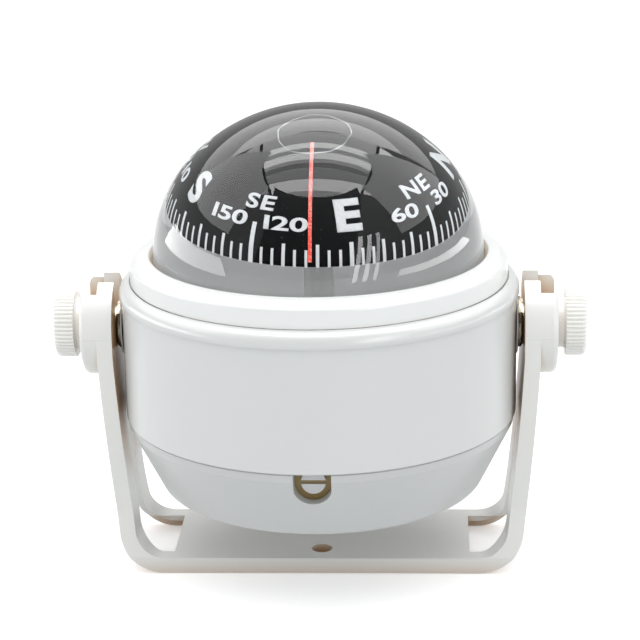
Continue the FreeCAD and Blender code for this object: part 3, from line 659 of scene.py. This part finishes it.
class COMPASS_OT_lower_bowl(bpy.types.Operator):
    """Model the lower bowl with its lip and the recesses for the two adjusters"""
    bl_idname = "compass.lower_bowl"
    bl_label = "Lower bowl"

    def execute(self, context):
        low = bowl_low.z
        corner = (lip_radius - 8.2, low + 2.4)
        lip_z = seam_z - 1.75
        top = seam_z - 0.12
        lean = math.degrees(math.acos(2.4 / math.hypot(lip_z - corner[1], lip_radius - corner[0]))
                            - math.atan2(lip_z - corner[1], lip_radius - corner[0]))
        outside = [(0, low), (corner[0] * 0.5, low)] + arc_points(corner, 2.4, -90, -lean, 12) + [
            (lip_radius - 0.12, lip_z - 0.25), (lip_radius, lip_z), (lip_radius, top - 0.23), (lip_radius - 0.3, top)]
        inside = [(lip_radius - 2.2, top), (lip_radius - 2.2, lip_z), (corner[0] + 0.4, low + 2.2), (0, low + 2.2)]
        piece = spun("lower_bowl_shell", outside + inside, degrees=28)
        form = spun("bowl_form", outside + [(0, top)], degrees=28)
        for turn in (0, -math.pi / 2):
            walls = recess_bar("recess_walls", recess_half + 1.25, recess_back - 1.6, lip_radius + 2, turn)
            add_modifier(walls, "BOOLEAN", operation="INTERSECT", object=form, solver="EXACT")
            cut_with(piece, walls, "UNION")
            cut_with(piece, recess_bar("recess", recess_half, recess_back, lip_radius + 8, turn))
        circle = screws_high.y - case_screw_head
        sink_depth = 4.4
        block_hole, block_countersink = 1.3, 3.5
        for index in range(3):
            angle = FULL_TURN / 4 + FULL_TURN * index / 3
            cut_with(piece, sink(circle * math.cos(angle), circle * math.sin(angle), low - 1,
                                 case_screw_head + 0.1, case_screw_head + 0.1, sink_depth))
        for spot in (-block_screw_place, block_screw_place):
            cut_with(piece, sink(spot, spot, low - 1, block_countersink, block_hole, 2.2))
            cut_with(piece, sink(spot, spot, low - 1, block_hole, block_hole, sink_depth))
        delete(form)
        smooth(piece, 28)

        def glued_back(finish):
            """Painted shade: the olive-brown darkening on the back wall of the two recesses, where shade falls."""
            across, along, up = finish.parts()
            squared = across * across + along * along
            outwards = squared.math("SQRT", squared)
            return outwards.below(recess_back + 0.4, 0.05) * up.above(shaft_z - recess_half - 0.1, 0.1)

        # Painted shade: the bowl is darkened to 0.73 of the shared white for the shade its downward-leaning wall sits
        # in, with grey painted shade in its hollows and olive painted shade on the recesses' back walls.
        finish = white_plastic("bowl plastic", 0.73, roughness=0.34, grain=0.0015,
                               crevice=(0.42, 0.44, 0.45), crevice_share=0.35, patch=glued_back,
                               patch_tone=(0.31, 0.22, 0.085))
        finish_piece(piece, finish, "housing", "case_plastic", "lower_bowl")
        return {"FINISHED"}


class COMPASS_OT_bezel(bpy.types.Operator):
    """Model the ring that holds the dome down"""
    bl_idname = "compass.bezel"
    bl_label = "Bezel"

    def execute(self, context):
        bore = dome_radius + 0.2
        top = bezel_high.z
        base = bezel_low.z
        profile = rounded([
            (bore, base + 1.0), (bore, top - 0.75), (bore + 0.62, top), (bore + 2.9, top - 0.2),
            (bezel_radius, top - 1.5), (bezel_radius, base), (bezel_radius - 1.6, base),
            (bezel_radius - 1.6, base + 1.0),
        ], {1: 0.3, 2: 0.45, 3: 2.2, 4: 0.8}, 6)
        piece = spun("bezel_ring", profile, degrees=30)
        # Painted light: the bezel is lightened to 1.03 of the shared white for the light on it, and its hollows get
        # brown painted shade.
        finish_piece(piece, white_plastic("bezel plastic", 1.03, roughness=0.22, grain=0.0025),
                     "housing", "bezel_plastic", "bezel")
        return {"FINISHED"}


class COMPASS_OT_dome(bpy.types.Operator):
    """Model the clear dome with the liquid that fills it"""
    bl_idname = "compass.dome"
    bl_label = "Dome and liquid"

    def execute(self, context):
        flange_z = dome_low.z
        floor_z = flange_z - 18.4
        profile = dome_meridian(dome_radius, dome_rise, dome_z, 20)[::-1]
        profile += [(dome_radius, dome_z - 3.0), (dome_radius, flange_z - 0.6), (31.8, flange_z - 1.7),
                    (28.4, floor_z + 4.8), (28.0, floor_z), (0, floor_z)]
        piece = spun("dome_with_liquid", profile, steps=256, degrees=40)
        finish_piece(piece, clear_finish("clear dome", (0.97, 0.985, 1.0), 1.40), "housing", "clear_acrylic", "dome")
        return {"FINISHED"}


class COMPASS_OT_bubble(bpy.types.Operator):
    """Model the outline of the small air bubble under the dome's crown"""
    bl_idname = "compass.bubble"
    bl_label = "Air bubble"

    def execute(self, context):
        crown = dome_arcs(dome_radius, dome_rise)[1]
        deselect()
        radius = 6.7
        bpy.ops.mesh.primitive_torus_add(
            major_segments=120, minor_segments=8, major_radius=radius * MM, minor_radius=0.085 * MM)
        piece = name_active("bubble_edge")
        for vertex in piece.data.vertices:
            angle = math.atan2(vertex.co.y, vertex.co.x)
            swell = (1 + 0.035 * math.sin(2 * angle + 0.6) + 0.02 * math.sin(5 * angle)
                     + 0.012 * math.sin(11 * angle + 1))
            thin = 0.45 + 0.55 * abs(math.sin(1.5 * angle + 0.4))
            ring = Vector((math.cos(angle), math.sin(angle), 0)) * radius * MM
            vertex.co = ring * swell + (vertex.co - ring) * thin
        inner = crown - 2.2
        place(piece, (0.2, 0, math.sqrt(inner ** 2 - radius ** 2) - 0.1))
        place(piece, (0, 0, dome_high.z - crown), (math.radians(18.6), 0, 0))
        smooth(piece, 80)
        finish = Finish("bubble edge")
        glint = finish.noise(700, 2.0)
        # Painted light: the bubble's edge glows faintly and carries painted glints as brighter spots in its alpha.
        shader = finish.surface(Base_Color=(0.9, 0.93, 0.96, 1), Roughness=0.15,
                                Alpha=glint.above(0.5, 0.2) * 0.6 + 0.12, Emission_Strength=0.25,
                                Emission_Color=(0.85, 0.9, 1.0, 1))
        finish_piece(piece, finish.done(shader), "housing", "clear_acrylic")
        return {"FINISHED"}


def heel(piece):
    """Tips a piece of the card on its pivot, the reading side down, and puts that into its mesh."""
    dial = settings()[1]
    place(piece, (0, 0, -pivot_z))
    return place(piece, (0, 0, pivot_z), (dial.dip, dial.list_angle, 0))


def on_card(bearing_deg, height_deg, lift=0.0):
    """The place on the card of a bearing and an angle up from its widest section, in millimetres."""
    height = card_rise * math.sin(math.radians(height_deg))
    if height < 0:
        radius = card_radius
    else:
        radius = meridian_radius(card_radius, card_rise, height)
    azimuth = settings()[1].heading - math.radians(bearing_deg)
    outwards = Vector((math.sin(azimuth), -math.cos(azimuth), 0))
    slope = max(height, 0.0) / card_rise
    normal = (outwards * math.cos(math.asin(slope)) + Vector((0, 0, slope))).normalized()
    return outwards * radius + Vector((0, 0, card_z + height)) + normal * lift


class COMPASS_OT_card(bpy.types.Operator):
    """Model the domed compass card"""
    bl_idname = "compass.card"
    bl_label = "Compass card"

    def execute(self, context):
        colours = settings()[2]
        outer = dome_meridian(card_radius, card_rise, card_z, 14)
        inner = dome_meridian(card_radius, card_rise, card_z, 14, inset=0.8)
        profile = outer[::-1] + [(card_radius, card_z - 0.55), (card_radius - 0.2, card_z - 0.75),
                                 (card_radius - 0.8, card_z - 0.75)] + inner
        piece = heel(spun("card_dome", profile[::-1], steps=180, degrees=45, closed=False))
        finish = Finish("card black")
        dust = finish.noise(2600, 2.0, 0.5).above(0.73, 0.02)
        cloud = finish.noise(70, 3.0, 0.6)
        toned = finish.mix(cloud, shade(colours.card, 0.8), shade(colours.card, 1.3))
        toned = finish.mix(dust * 0.35, toned, (0.25, 0.27, 0.28))
        shader = finish.surface(Base_Color=toned, Roughness=cloud * 0.15 + 0.45, Specular_IOR_Level=0.05,
                                Normal=finish.bump(finish.noise(1800, 2.0), 0.006))
        finish_piece(piece, finish.done(shader), "card", "card_plastic", "compass_card")
        black = moulded_finish("hub plastic", (0.05, 0.05, 0.055), 0.4, crevice_share=0.0, specular=0.05)
        # Painted shade: the float gets a light brown darkening in its hollows.
        pale = moulded_finish("float plastic", (0.70, 0.70, 0.66), 0.45, crevice_share=0.2, specular=0.05)
        for node, finish, slot in (("card_hub", black, "card_plastic"), ("card_float", pale, "float_plastic")):
            piece = heel(copy_of_node(node, node + "_leaning"))
            finish_piece(smooth(piece), finish, "card", slot, node)
        return {"FINISHED"}


def lay_on_card(piece, bearing, base_deg):
    """Bends a flat print, drawn in millimetres about its own middle, on to the card."""
    for vertex in piece.data.vertices:
        across, up = vertex.co.x, vertex.co.y
        height = math.radians(base_deg)
        steps = 12
        step = up / steps
        for _ in range(steps):
            height += step / math.hypot(card_radius * math.sin(height), card_rise * math.cos(height))
        radius = card_radius * math.cos(height)
        vertex.co = on_card(bearing - math.degrees(across / radius), math.degrees(height), PRINT_LIFT) * MM
    return piece


def thicken_print(piece):
    add_modifier(piece, "SOLIDIFY", thickness=PRINT_SKIN * MM, offset=0)
    edit(piece, "FACE")
    select_whole()
    bpy.ops.mesh.normals_make_consistent(inside=False)
    leave_edit()
    return piece


def printed_word(word, name, height, widen, weight, spacing, bearing, base_deg):
    """Sets a word, spreads it on the card and makes it a thin skin."""
    deselect()
    bpy.ops.object.text_add()
    piece = name_active(name)
    text = piece.data
    text.body = word
    text.align_x = "CENTER"
    text.size = 10.0
    text.offset = weight
    text.space_character = spacing
    text.resolution_u = 5
    for sign, style in zip(word, text.body_format):
        style.kerning = -9 if sign == "1" else 0
    bpy.ops.object.convert(target="MESH")
    piece = bpy.context.active_object
    corners = [vertex.co for vertex in piece.data.vertices]
    low = min(corner.y for corner in corners)
    high = max(corner.y for corner in corners)
    left = min(corner.x for corner in corners)
    right = max(corner.x for corner in corners)
    scale = height / (high - low)
    for vertex in piece.data.vertices:
        vertex.co = Vector(((vertex.co.x - (left + right) / 2) * scale * widen, (vertex.co.y - low) * scale, 0))
    edit(piece, "FACE")
    select_whole()
    bpy.ops.mesh.remove_doubles(threshold=0.0005)
    bpy.ops.mesh.quads_convert_to_tris()
    bpy.ops.mesh.subdivide(number_cuts=2)
    leave_edit()
    lay_on_card(piece, bearing, base_deg)
    return heel(thicken_print(piece))


class COMPASS_OT_print(bpy.types.Operator):
    """Print the bearing marks, numbers and letters on the card"""
    bl_idname = "compass.print"
    bl_label = "Card print"

    def execute(self, context):
        dial = settings()[1]
        colours = settings()[2]
        finish = Finish("card print")
        worn = finish.noise(1500, 3.0, 0.6)
        toned = finish.mix(worn.above(0.55, 0.12), colours.print_white, shade(colours.print_white, 0.93))
        white = finish.done(finish.surface(
            Base_Color=toned, Roughness=worn * 0.1 + 0.4, Specular_IOR_Level=0.05, Normal=finish.bump(worn, 0.01)))
        deselect()
        bpy.ops.mesh.primitive_plane_add(size=1.0)
        tick = name_active("tick")
        edit(tick, "EDGE")
        select_whole()
        bpy.ops.mesh.subdivide(number_cuts=7)
        leave_edit()
        ticks = []
        width = dial.tick_width / MM
        for index in range(72):
            bearing = index * 5
            top, wide = 7.6, width
            if bearing % 15 == 0:
                top, wide = 10.9, width * 1.22
            if bearing % 90 == 0:
                top, wide = 11.6, width * 1.5
            elif bearing % 45 == 0:
                top, wide = 21.2, width * 1.75
            mark = add_object("tick_%03d" % bearing, tick.data.copy())
            low = -2.6
            for vertex in mark.data.vertices:
                height = low + (top - low) * (vertex.co.y + 0.5)
                angle = math.degrees(vertex.co.x * wide / card_radius)
                vertex.co = on_card(bearing - angle, height, PRINT_LIFT) * MM
            ticks.append(mark)
        delete(tick)
        deselect()
        for mark in ticks:
            mark.select_set(True)
        bpy.context.view_layer.objects.active = ticks[0]
        bpy.ops.object.join()
        marks = name_active("bearing_marks")
        heel(thicken_print(marks))
        finish_piece(marks, white, "card", "card_plastic")
        letter = dial.letter_height / MM
        number = dial.number_height / MM
        numbers = tuple((str(value), value) for value in (30, 60, 120, 150, 210, 240, 300, 330))
        for kind, words, height, widen, weight, spacing, base_deg in (
            ("letter_", (("N", 0), ("E", 90), ("S", 180), ("W", 270)), letter, 1.24, 0.42, 1.0, 17.6),
            ("letters_", (("NE", 45), ("SE", 135), ("SW", 225), ("NW", 315)), number * 1.10, 1.50, 0.28, 1.1, 28.4),
            ("number_", numbers, number, 1.95, 0.26, 1.0, 18.0),
        ):
            for word, bearing in words:
                piece = printed_word(word, kind + word, height, widen, weight, spacing, bearing, base_deg)
                finish_piece(piece, white, "card", "card_plastic")
        return {"FINISHED"}


class COMPASS_OT_knobs(bpy.types.Operator):
    """Model the two ribbed clamping knobs"""
    bl_idname = "compass.knobs"
    bl_label = "Clamping knobs"

    def execute(self, context):
        moulding = settings()[0]
        colours = settings()[2]
        radius = knob_high.z - axis_z
        face = knob_high.x
        head = knob_head_length
        neck = 5.3
        back = face - head
        ribs = moulding.rib_count
        depth = moulding.rib_depth / MM
        deselect()
        bpy.ops.mesh.primitive_circle_add(vertices=ribs * 4, radius=radius * MM, fill_type="NGON")
        knob = name_active("right_ribbed_knob")
        edit(knob)
        mesh = bmesh.from_edit_mesh(knob.data)
        mesh.verts.ensure_lookup_table()
        order = sorted(mesh.verts, key=lambda v: math.atan2(v.co.y, v.co.x) % FULL_TURN)
        roots = set(v.index for place_, v in enumerate(order) if place_ % 4 in (0, 3))
        pick(knob, "verts", lambda v: v.index in roots)
        shrink = (radius - depth) / radius
        bpy.ops.transform.resize(value=(shrink, shrink, 1), center_override=(0, 0, 0))
        pick(knob, "faces", lambda f: True)

        def grow(up, scale):
            extrude((0, 0, up * MM))
            bpy.ops.transform.resize(value=(scale, scale, 1), center_override=(0, 0, 0))

        grow(head - 0.95, 1.0)
        steps = 4
        previous = 1.0
        for index in range(1, steps + 1):
            angle = math.pi / 2 * index / steps
            size = (radius - 0.9 * (1 - math.cos(angle))) / radius
            rise = 0.9 * (math.sin(angle) - math.sin(math.pi / 2 * (index - 1) / steps))
            grow(rise, size / previous)
            previous = size
        pick(knob, "faces", lambda f: f.normal.z > 0.9 and f.calc_center_median().z > (head - 0.06) * MM)
        # Known fault: on the ribbed outline these insets leave folded faces, and the knob's end renders black
        bpy.ops.mesh.inset(thickness=1.0 * MM)
        bpy.ops.mesh.inset(thickness=0.25 * MM, depth=-0.12 * MM)
        tidy_mesh()
        leave_edit()
        length = back - ear_outer_x
        collar = spun("knob_neck", [(0, -length), (neck - 0.3, -length), (neck, 0.3 - length), (neck, -0.4),
                                    (neck + 0.4, 0.02), (0, 0.02)], steps=72)
        work_on(collar)
        knob.select_set(True)
        bpy.context.view_layer.objects.active = knob
        bpy.ops.object.join()
        smooth(knob, 24)
        # Painted shade: the knob's rib hollows are darkened towards a warm grey.
        finish = moulded_finish("knob plastic", tuple(colours.knob), roughness=0.30, grain=0.003, crevice_reach=1.0,
                                crevice=(0.55, 0.50, 0.40))
        left = add_object("left_ribbed_knob", knob.data.copy())
        place(knob, (back, 0, axis_z), (0, math.pi / 2, 0))
        place(left, (-back, 0, axis_z), (0, -math.pi / 2, 0))
        finish_piece(knob, finish, "right_clamp_knob", "knob_plastic", "right_knob")
        finish_piece(left, finish, "left_clamp_knob", "knob_plastic", "left_knob")
        return {"FINISHED"}


class COMPASS_OT_inserts(bpy.types.Operator):
    """Model the knurled discs of the threaded inserts"""
    bl_idname = "compass.inserts"
    bl_label = "Threaded inserts"

    def execute(self, context):
        radius = insert_high.z - axis_z
        start = case_radius - 0.3
        face = insert_face_x
        rows = 3
        columns = 28
        knurl = 0.6
        # Painted shade: the knurl's hollows are darkened nearly to black.
        finish = metal_finish("plated insert", (0.62, 0.58, 0.48), 0.24, hollow_shade=(0.07, 0.06, 0.035))
        for name, side in SIDES:
            deselect()
            bpy.ops.mesh.primitive_circle_add(vertices=columns, radius=(radius - knurl) * MM, fill_type="NGON")
            piece = name_active(name + "_knurled_insert")
            edit(piece, "FACE")
            select_whole()
            for row in range(rows):
                extrude((0, 0, (face - start) / rows * MM))
            top = face - start
            pitch = FULL_TURN / columns

            def raised(vertex):
                if vertex.co.xy.length < (radius - knurl - 0.2) * MM:
                    return False
                row = round(vertex.co.z / MM / top * rows)
                column = round(math.atan2(vertex.co.y, vertex.co.x) / pitch)
                return (row + column) % 2 == 0 and 0 < row < rows
            pick(piece, "verts", raised)
            grow = radius / (radius - knurl)
            bpy.ops.transform.resize(value=(grow, grow, 1), center_override=(0, 0, 0))
            pick(piece, "faces", lambda f: f.normal.z > 0.9)
            bpy.ops.mesh.inset(thickness=(radius - knurl - 3.55) * MM)
            extrude((0, 0, (insert_high.x - face) * MM))
            bpy.ops.mesh.inset(thickness=0.95 * MM)
            extrude((0, 0, -1.5 * MM))
            pick(piece, "faces", lambda f: f.normal.z < -0.9 and f.calc_center_median().z < 0.0001)
            bpy.ops.mesh.inset(thickness=(radius - knurl - 3.6) * MM)
            extrude((0, 0, (insert_low.x - start) * MM))
            tidy_mesh()
            leave_edit()
            smooth(piece, 8)
            place(piece, (side * start, 0, axis_z), (0, side * math.pi / 2, 0))
            finish_piece(piece, finish, "housing", "plated_brass", name + "_pivot_insert")
        return {"FINISHED"}


class COMPASS_OT_bracket(bpy.types.Operator):
    """Soften the moulded edges of the U bracket"""
    bl_idname = "compass.bracket"
    bl_label = "Bracket"

    def execute(self, context):
        moulding = settings()[0]
        piece = copy_of_node("bracket", "bracket_moulding")
        add_modifier(piece, "BEVEL", width=moulding.edge_round, segments=3, limit_method="ANGLE",
                     angle_limit=math.radians(35), use_clamp_overlap=True, profile=0.5)
        edit(piece)
        tidy_mesh(0.001)
        leave_edit()
        smooth(piece, 32)
        add_modifier(piece, "WEIGHTED_NORMAL", keep_sharp=True, weight=50)

        def part_line(finish):
            across, _, up = finish.parts()
            near = (up - (axis_z - 0.4)).size().below(0.10, 0.05)
            return near * across.size().above(42.0, 0.1) * 8.0

        # Painted shade: the bracket's gaps and hollows, such as between leg and case, are darkened towards brown.
        finish = moulded_finish("bracket plastic", (0.81, 0.81, 0.785), roughness=0.36, grain=0.004, marks=part_line,
                                crevice=(0.50, 0.25, 0.06), crevice_reach=6.0, crevice_share=0.9, crevice_level=0.46)
        finish_piece(piece, finish, "bracket", "bracket_plastic", "bracket")
        return {"FINISHED"}


class COMPASS_OT_inner_parts(bpy.types.Operator):
    """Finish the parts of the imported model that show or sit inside"""
    bl_idname = "compass.inner_parts"
    bl_label = "Inner parts"

    def execute(self, context):
        colours = settings()[2]
        red = Finish("lubber red")
        speck = red.noise(2400, 3.0, 0.7)
        toned = red.mix(speck.above(0.56, 0.08), colours.lubber, (0.95, 0.32, 0.24))
        # Painted light: the lubber line glows a little with its own colour.
        lubber = red.done(red.surface(Base_Color=toned, Roughness=speck * 0.2 + 0.25,
                                      Emission_Color=toned, Emission_Strength=0.35,
                                      Normal=red.bump(speck, 0.05)))
        liquid_bowl = moulded_finish("liquid bowl plastic", (0.82, 0.83, 0.83), 0.4, crevice_share=0.0, specular=0.05)
        # Painted shade: the adjuster's hollows, and faintly the post's, are darkened towards brown.
        white_part = white_plastic("adjuster plastic", 0.97, roughness=0.38, crevice_reach=0.8, crevice_share=0.6)
        black = moulded_finish("black plastic", (0.05, 0.05, 0.055), 0.4, crevice_share=0.0)
        post = moulded_finish("post plastic", (0.84, 0.85, 0.85), 0.45, crevice_share=0.1, specular=0.05)
        rubber = rubber_finish("seal rubber", (0.04, 0.04, 0.04))
        brass = metal_finish("brass", (0.72, 0.56, 0.28), 0.28)
        steel = metal_finish("stainless steel", (0.60, 0.60, 0.61), 0.25)
        magnet = metal_finish("magnet steel", (0.30, 0.30, 0.32), 0.4)
        stone = clear_finish("jewel stone", (0.75, 0.35, 0.45), 1.76, see_through_shadow=False)
        wanted = {
            "lubber_line": lubber, "liquid_bowl": liquid_bowl, "fore_aft_shaft": white_part,
            "athwart_shaft": white_part, "diaphragm_ring": black, "compensator_block": black,
            "dome_gasket": rubber, "diaphragm": rubber, "fill_plug_seal": rubber,
            "fill_plug": brass, "pivot_post": post, "block_screws": brass, "pivot_needle": steel,
            "case_screws": steel, "left_knob_stud": steel, "right_knob_stud": steel, "card_magnets": magnet,
            "fore_aft_magnet": magnet, "athwart_magnet": magnet, "jewel_cup": stone,
        }
        for node, finish in wanted.items():
            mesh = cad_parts[node].data
            mesh.materials.clear()
            mesh.materials.append(finish)
        return {"FINISHED"}


# Stage

def glow_panel(piece, strength):
    """Makes a mesh a glowing or dark panel of the light tent that only reflections see."""
    finish = Finish(piece.name + " glow")
    glow = finish.add("ShaderNodeEmission", inputs={"Color": (1, 1, 1, 1), "Strength": strength})
    piece.data.materials.clear()
    piece.data.materials.append(finish.done(glow))
    for ray in ("camera", "diffuse", "shadow", "transmission"):
        setattr(piece, "visible_" + ray, False)


def wall_panel(name, rows, strength, distance, columns=12):
    """A curved panel round the compass. Each row holds an elevation and the azimuths, from the reading
    side, of its two ends, in degrees."""
    deselect()
    bpy.ops.mesh.primitive_grid_add(x_subdivisions=columns, y_subdivisions=len(rows) - 1, size=1)
    piece = name_active(name)
    for vertex in piece.data.vertices:
        elevation, first, last = rows[round((vertex.co.y + 0.5) * (len(rows) - 1))]
        azimuth = math.radians(first + (last - first) * (vertex.co.x + 0.5))
        way = direction(azimuth, math.radians(elevation))
        vertex.co = Vector((0, 0, tent_centre_z)) * MM + way * distance
    glow_panel(piece, strength)


def roof_panel(name, left, right, front, back, strength, height):
    """A level panel over the compass, its edges given as shares of its height."""
    deselect()
    bpy.ops.mesh.primitive_grid_add(x_subdivisions=4, y_subdivisions=4, size=1)
    piece = name_active(name)
    for vertex in piece.data.vertices:
        x = left + (right - left) * (vertex.co.x + 0.5)
        y = front + (back - front) * (vertex.co.y + 0.5)
        vertex.co = Vector((x * height, y * height, tent_centre_z * MM + height))
    glow_panel(piece, strength)


class COMPASS_OT_stage(bpy.types.Operator):
    """Set the floor, the room, the lights and the camera"""
    bl_idname = "compass.stage"
    bl_label = "Stage"

    def execute(self, context):
        stage = settings()[3]
        scene = bpy.context.scene
        deselect()
        bpy.ops.mesh.primitive_plane_add(size=4.0)
        floor = name_active("floor")
        finish = Finish("pale floor")
        tone = finish.mix(finish.noise(6, 2.0), (0.93, 0.93, 0.93), (0.95, 0.95, 0.95))
        glossy_ray = finish.add("ShaderNodeLightPath", output="Is Glossy Ray")
        seen = finish.seen().math("MAXIMUM", finish.seen(), glossy_ray)
        matt = finish.surface(Base_Color=tone, Roughness=0.9, Specular_IOR_Level=0.1,
                              Emission_Color=(1, 1, 1, 1), Emission_Strength=0.34)
        grey = finish.surface(Base_Color=finish.mix(finish.noise(6, 2.0), (0.58, 0.60, 0.61), (0.60, 0.62, 0.63)),
                              Roughness=0.9, Specular_IOR_Level=0.1)
        floor.data.materials.append(finish.done(finish.add("ShaderNodeMixShader", inputs={0: seen, 1: grey, 2: matt})))
        floor.location = (0, 0, -0.0002)

        world = Finish("room", "world")
        seen = world.seen()
        glossy_ray = world.add("ShaderNodeLightPath", output="Is Glossy Ray")
        strength = seen * 1.0 + (1 - seen) * (glossy_ray * 0.6 + (1 - glossy_ray) * stage.fill)
        room = world.add("ShaderNodeBackground", inputs={"Color": (1, 1, 1, 1), "Strength": strength})
        output = world.tree.nodes.new("ShaderNodeOutputWorld")
        world.tree.links.new(room.socket, output.inputs["Surface"])
        scene.world = world.material

        deselect()
        bpy.ops.object.light_add(type="AREA", location=(0, -0.05, 0.55))
        key = bpy.context.active_object
        key.name = "key_light"
        key.data.shape = "RECTANGLE"
        key.data.size = 0.55
        key.data.size_y = 0.55
        key.data.energy = stage.key_power
        key.visible_glossy = False
        key.visible_transmission = False

        deselect()
        bpy.ops.object.camera_add()
        camera = bpy.context.active_object
        camera.name = "camera"
        camera.data.sensor_width = SENSOR_WIDTH
        camera.data.lens = FOCAL_PIXELS / PHOTO_PIXELS * SENSOR_WIDTH
        camera.data.clip_start = 0.01
        back = direction(stage.azimuth, stage.elevation)
        right = Vector((math.cos(stage.azimuth), math.sin(stage.azimuth), 0))
        up = back.cross(right).normalized()
        rolled_right = right * math.cos(stage.roll) + up * math.sin(stage.roll)
        rolled_up = up * math.cos(stage.roll) - right * math.sin(stage.roll)
        target = Vector((0.05, 0, 50.37)) * MM
        place_ = Matrix((rolled_right, rolled_up, back)).transposed().to_4x4()
        place_.translation = target + back * stage.distance
        camera.matrix_world = place_
        scene.camera = camera
        scene.view_settings.view_transform = "Standard"
        return {"FINISHED"}


class COMPASS_OT_reflections(bpy.types.Operator):
    """Hang the panels of the light tent that the dome mirrors"""
    bl_idname = "compass.reflections"
    bl_label = "Light tent"

    def execute(self, context):
        for name, left, right, front, back, strength, height in (
            ("tent_roof", -0.49, 0.50, -0.62, 0.66, 4.4, 1.0),
            ("roof_lamp_back", -0.49, 0.50, 0.306, 0.404, 10.5, 0.98),
            ("roof_lamp_middle", -0.49, 0.50, 0.125, 0.235, 10.5, 0.98),
            ("roof_gap", -0.49, 0.50, 0.0, 0.07, 2.0, 0.98),
            ("roof_dim", -0.49, 0.50, -0.155, -0.005, 3.2, 0.98),
            ("roof_lamp_front", -0.49, 0.50, -0.364, -0.16, 9.6, 0.98),
            ("roof_end", -0.49, 0.50, -0.62, -0.50, 2.6, 0.98),
            ("roof_glow_left", -0.66, -0.52, -0.30, 0.66, 4.5, 0.98),
            ("roof_glow_right", 0.53, 0.74, -0.30, 0.66, 8.5, 0.98),
            ("roof_edge_left", -0.52, -0.488, -0.62, 0.66, 0.1, 0.97),
            ("roof_edge_right", 0.498, 0.53, -0.62, 0.66, 0.1, 0.97),
        ):
            roof_panel(name, left, right, front, back, strength, height)
        for name, rows, strength, distance in (
            ("tent_front", [(8, -41, 26), (26, -39, 31), (46, -42, 43), (58, -52, 56), (64, -62, 62)], 0.03, 0.85),
            ("back_wall_high", [(40, 137, 229), (50, 142, 221), (56, 160, 202)], 5.2, 0.85),
            ("back_wall_low", [(23, 133, 233), (32, 135, 231), (40, 137, 229)], 2.6, 0.85),
            ("stripe_1", [(-6, 24, 27), (28, 33, 36.5)], 11.0, 0.8),
            ("stripe_2", [(-6, 31, 34), (28, 40, 43.5)], 11.0, 0.8),
            ("stripe_3", [(-6, 38, 40.5), (28, 47, 50)], 9.0, 0.8),
            ("right_patch", [(-24, 52, 135), (-9, 54, 135), (-2, 58, 120)], 8.0, 0.8),
            ("side_right", [(22, 66, 132), (62, 66, 132)], 3.4, 0.9),
            ("side_left", [(22, -132, -66), (62, -132, -66)], 3.4, 0.9),
            ("left_patch", [(-22, -130, -62), (-7, -128, -60), (5, -118, -66)], 7.5, 0.8),
        ):
            wall_panel(name, rows, strength, distance)
        for index in range(25):
            azimuth = -46 + 92 * index / 24
            ends = (azimuth - 0.6, azimuth + 0.6)
            wall_panel("tent_stud_%02d" % index, [(63.4, *ends), (64.0, *ends)], 6.0, 0.84, columns=1)
        return {"FINISHED"}


class COMPASS_PT_panel(bpy.types.Panel):
    """Lists the compass's pieces and settings"""
    bl_label = "Bracket Compass"
    bl_idname = "COMPASS_PT_panel"
    bl_space_type = "VIEW_3D"
    bl_region_type = "UI"
    bl_category = "Compass"

    def draw(self, context):
        layout = self.layout
        for title, group in (("Mouldings", context.scene.compass_moulding), ("Dial", context.scene.compass_dial),
                             ("Colours", context.scene.compass_colours), ("Stage", context.scene.compass_stage)):
            box = layout.box()
            box.label(text=title)
            for name in group.__annotations__:
                box.prop(group, name)
        for operator in PIECES:
            layout.operator(operator.bl_idname)


GROUPS = (
    ("compass_moulding", MouldingSettings), ("compass_dial", DialSettings),
    ("compass_colours", ColourSettings), ("compass_stage", StageSettings),
)
PIECES = (
    COMPASS_OT_case, COMPASS_OT_lower_bowl, COMPASS_OT_bezel, COMPASS_OT_dome,
    COMPASS_OT_bubble, COMPASS_OT_card, COMPASS_OT_print, COMPASS_OT_knobs, COMPASS_OT_inserts,
    COMPASS_OT_bracket, COMPASS_OT_inner_parts, COMPASS_OT_stage, COMPASS_OT_reflections,
)


def register():
    for name, group in GROUPS:
        bpy.utils.register_class(group)
        setattr(bpy.types.Scene, name, PointerProperty(type=group))
    for operator in PIECES:
        bpy.utils.register_class(operator)
    bpy.utils.register_class(COMPASS_PT_panel)


def unregister():
    bpy.utils.unregister_class(COMPASS_PT_panel)
    for operator in reversed(PIECES):
        bpy.utils.unregister_class(operator)
    for name, group in reversed(GROUPS):
        delattr(bpy.types.Scene, name)
        bpy.utils.unregister_class(group)


def main():
    register()
    for operator in PIECES:
        group, name = operator.bl_idname.split(".")
        getattr(getattr(bpy.ops, group), name)()


if __name__ == "__main__":
    main()
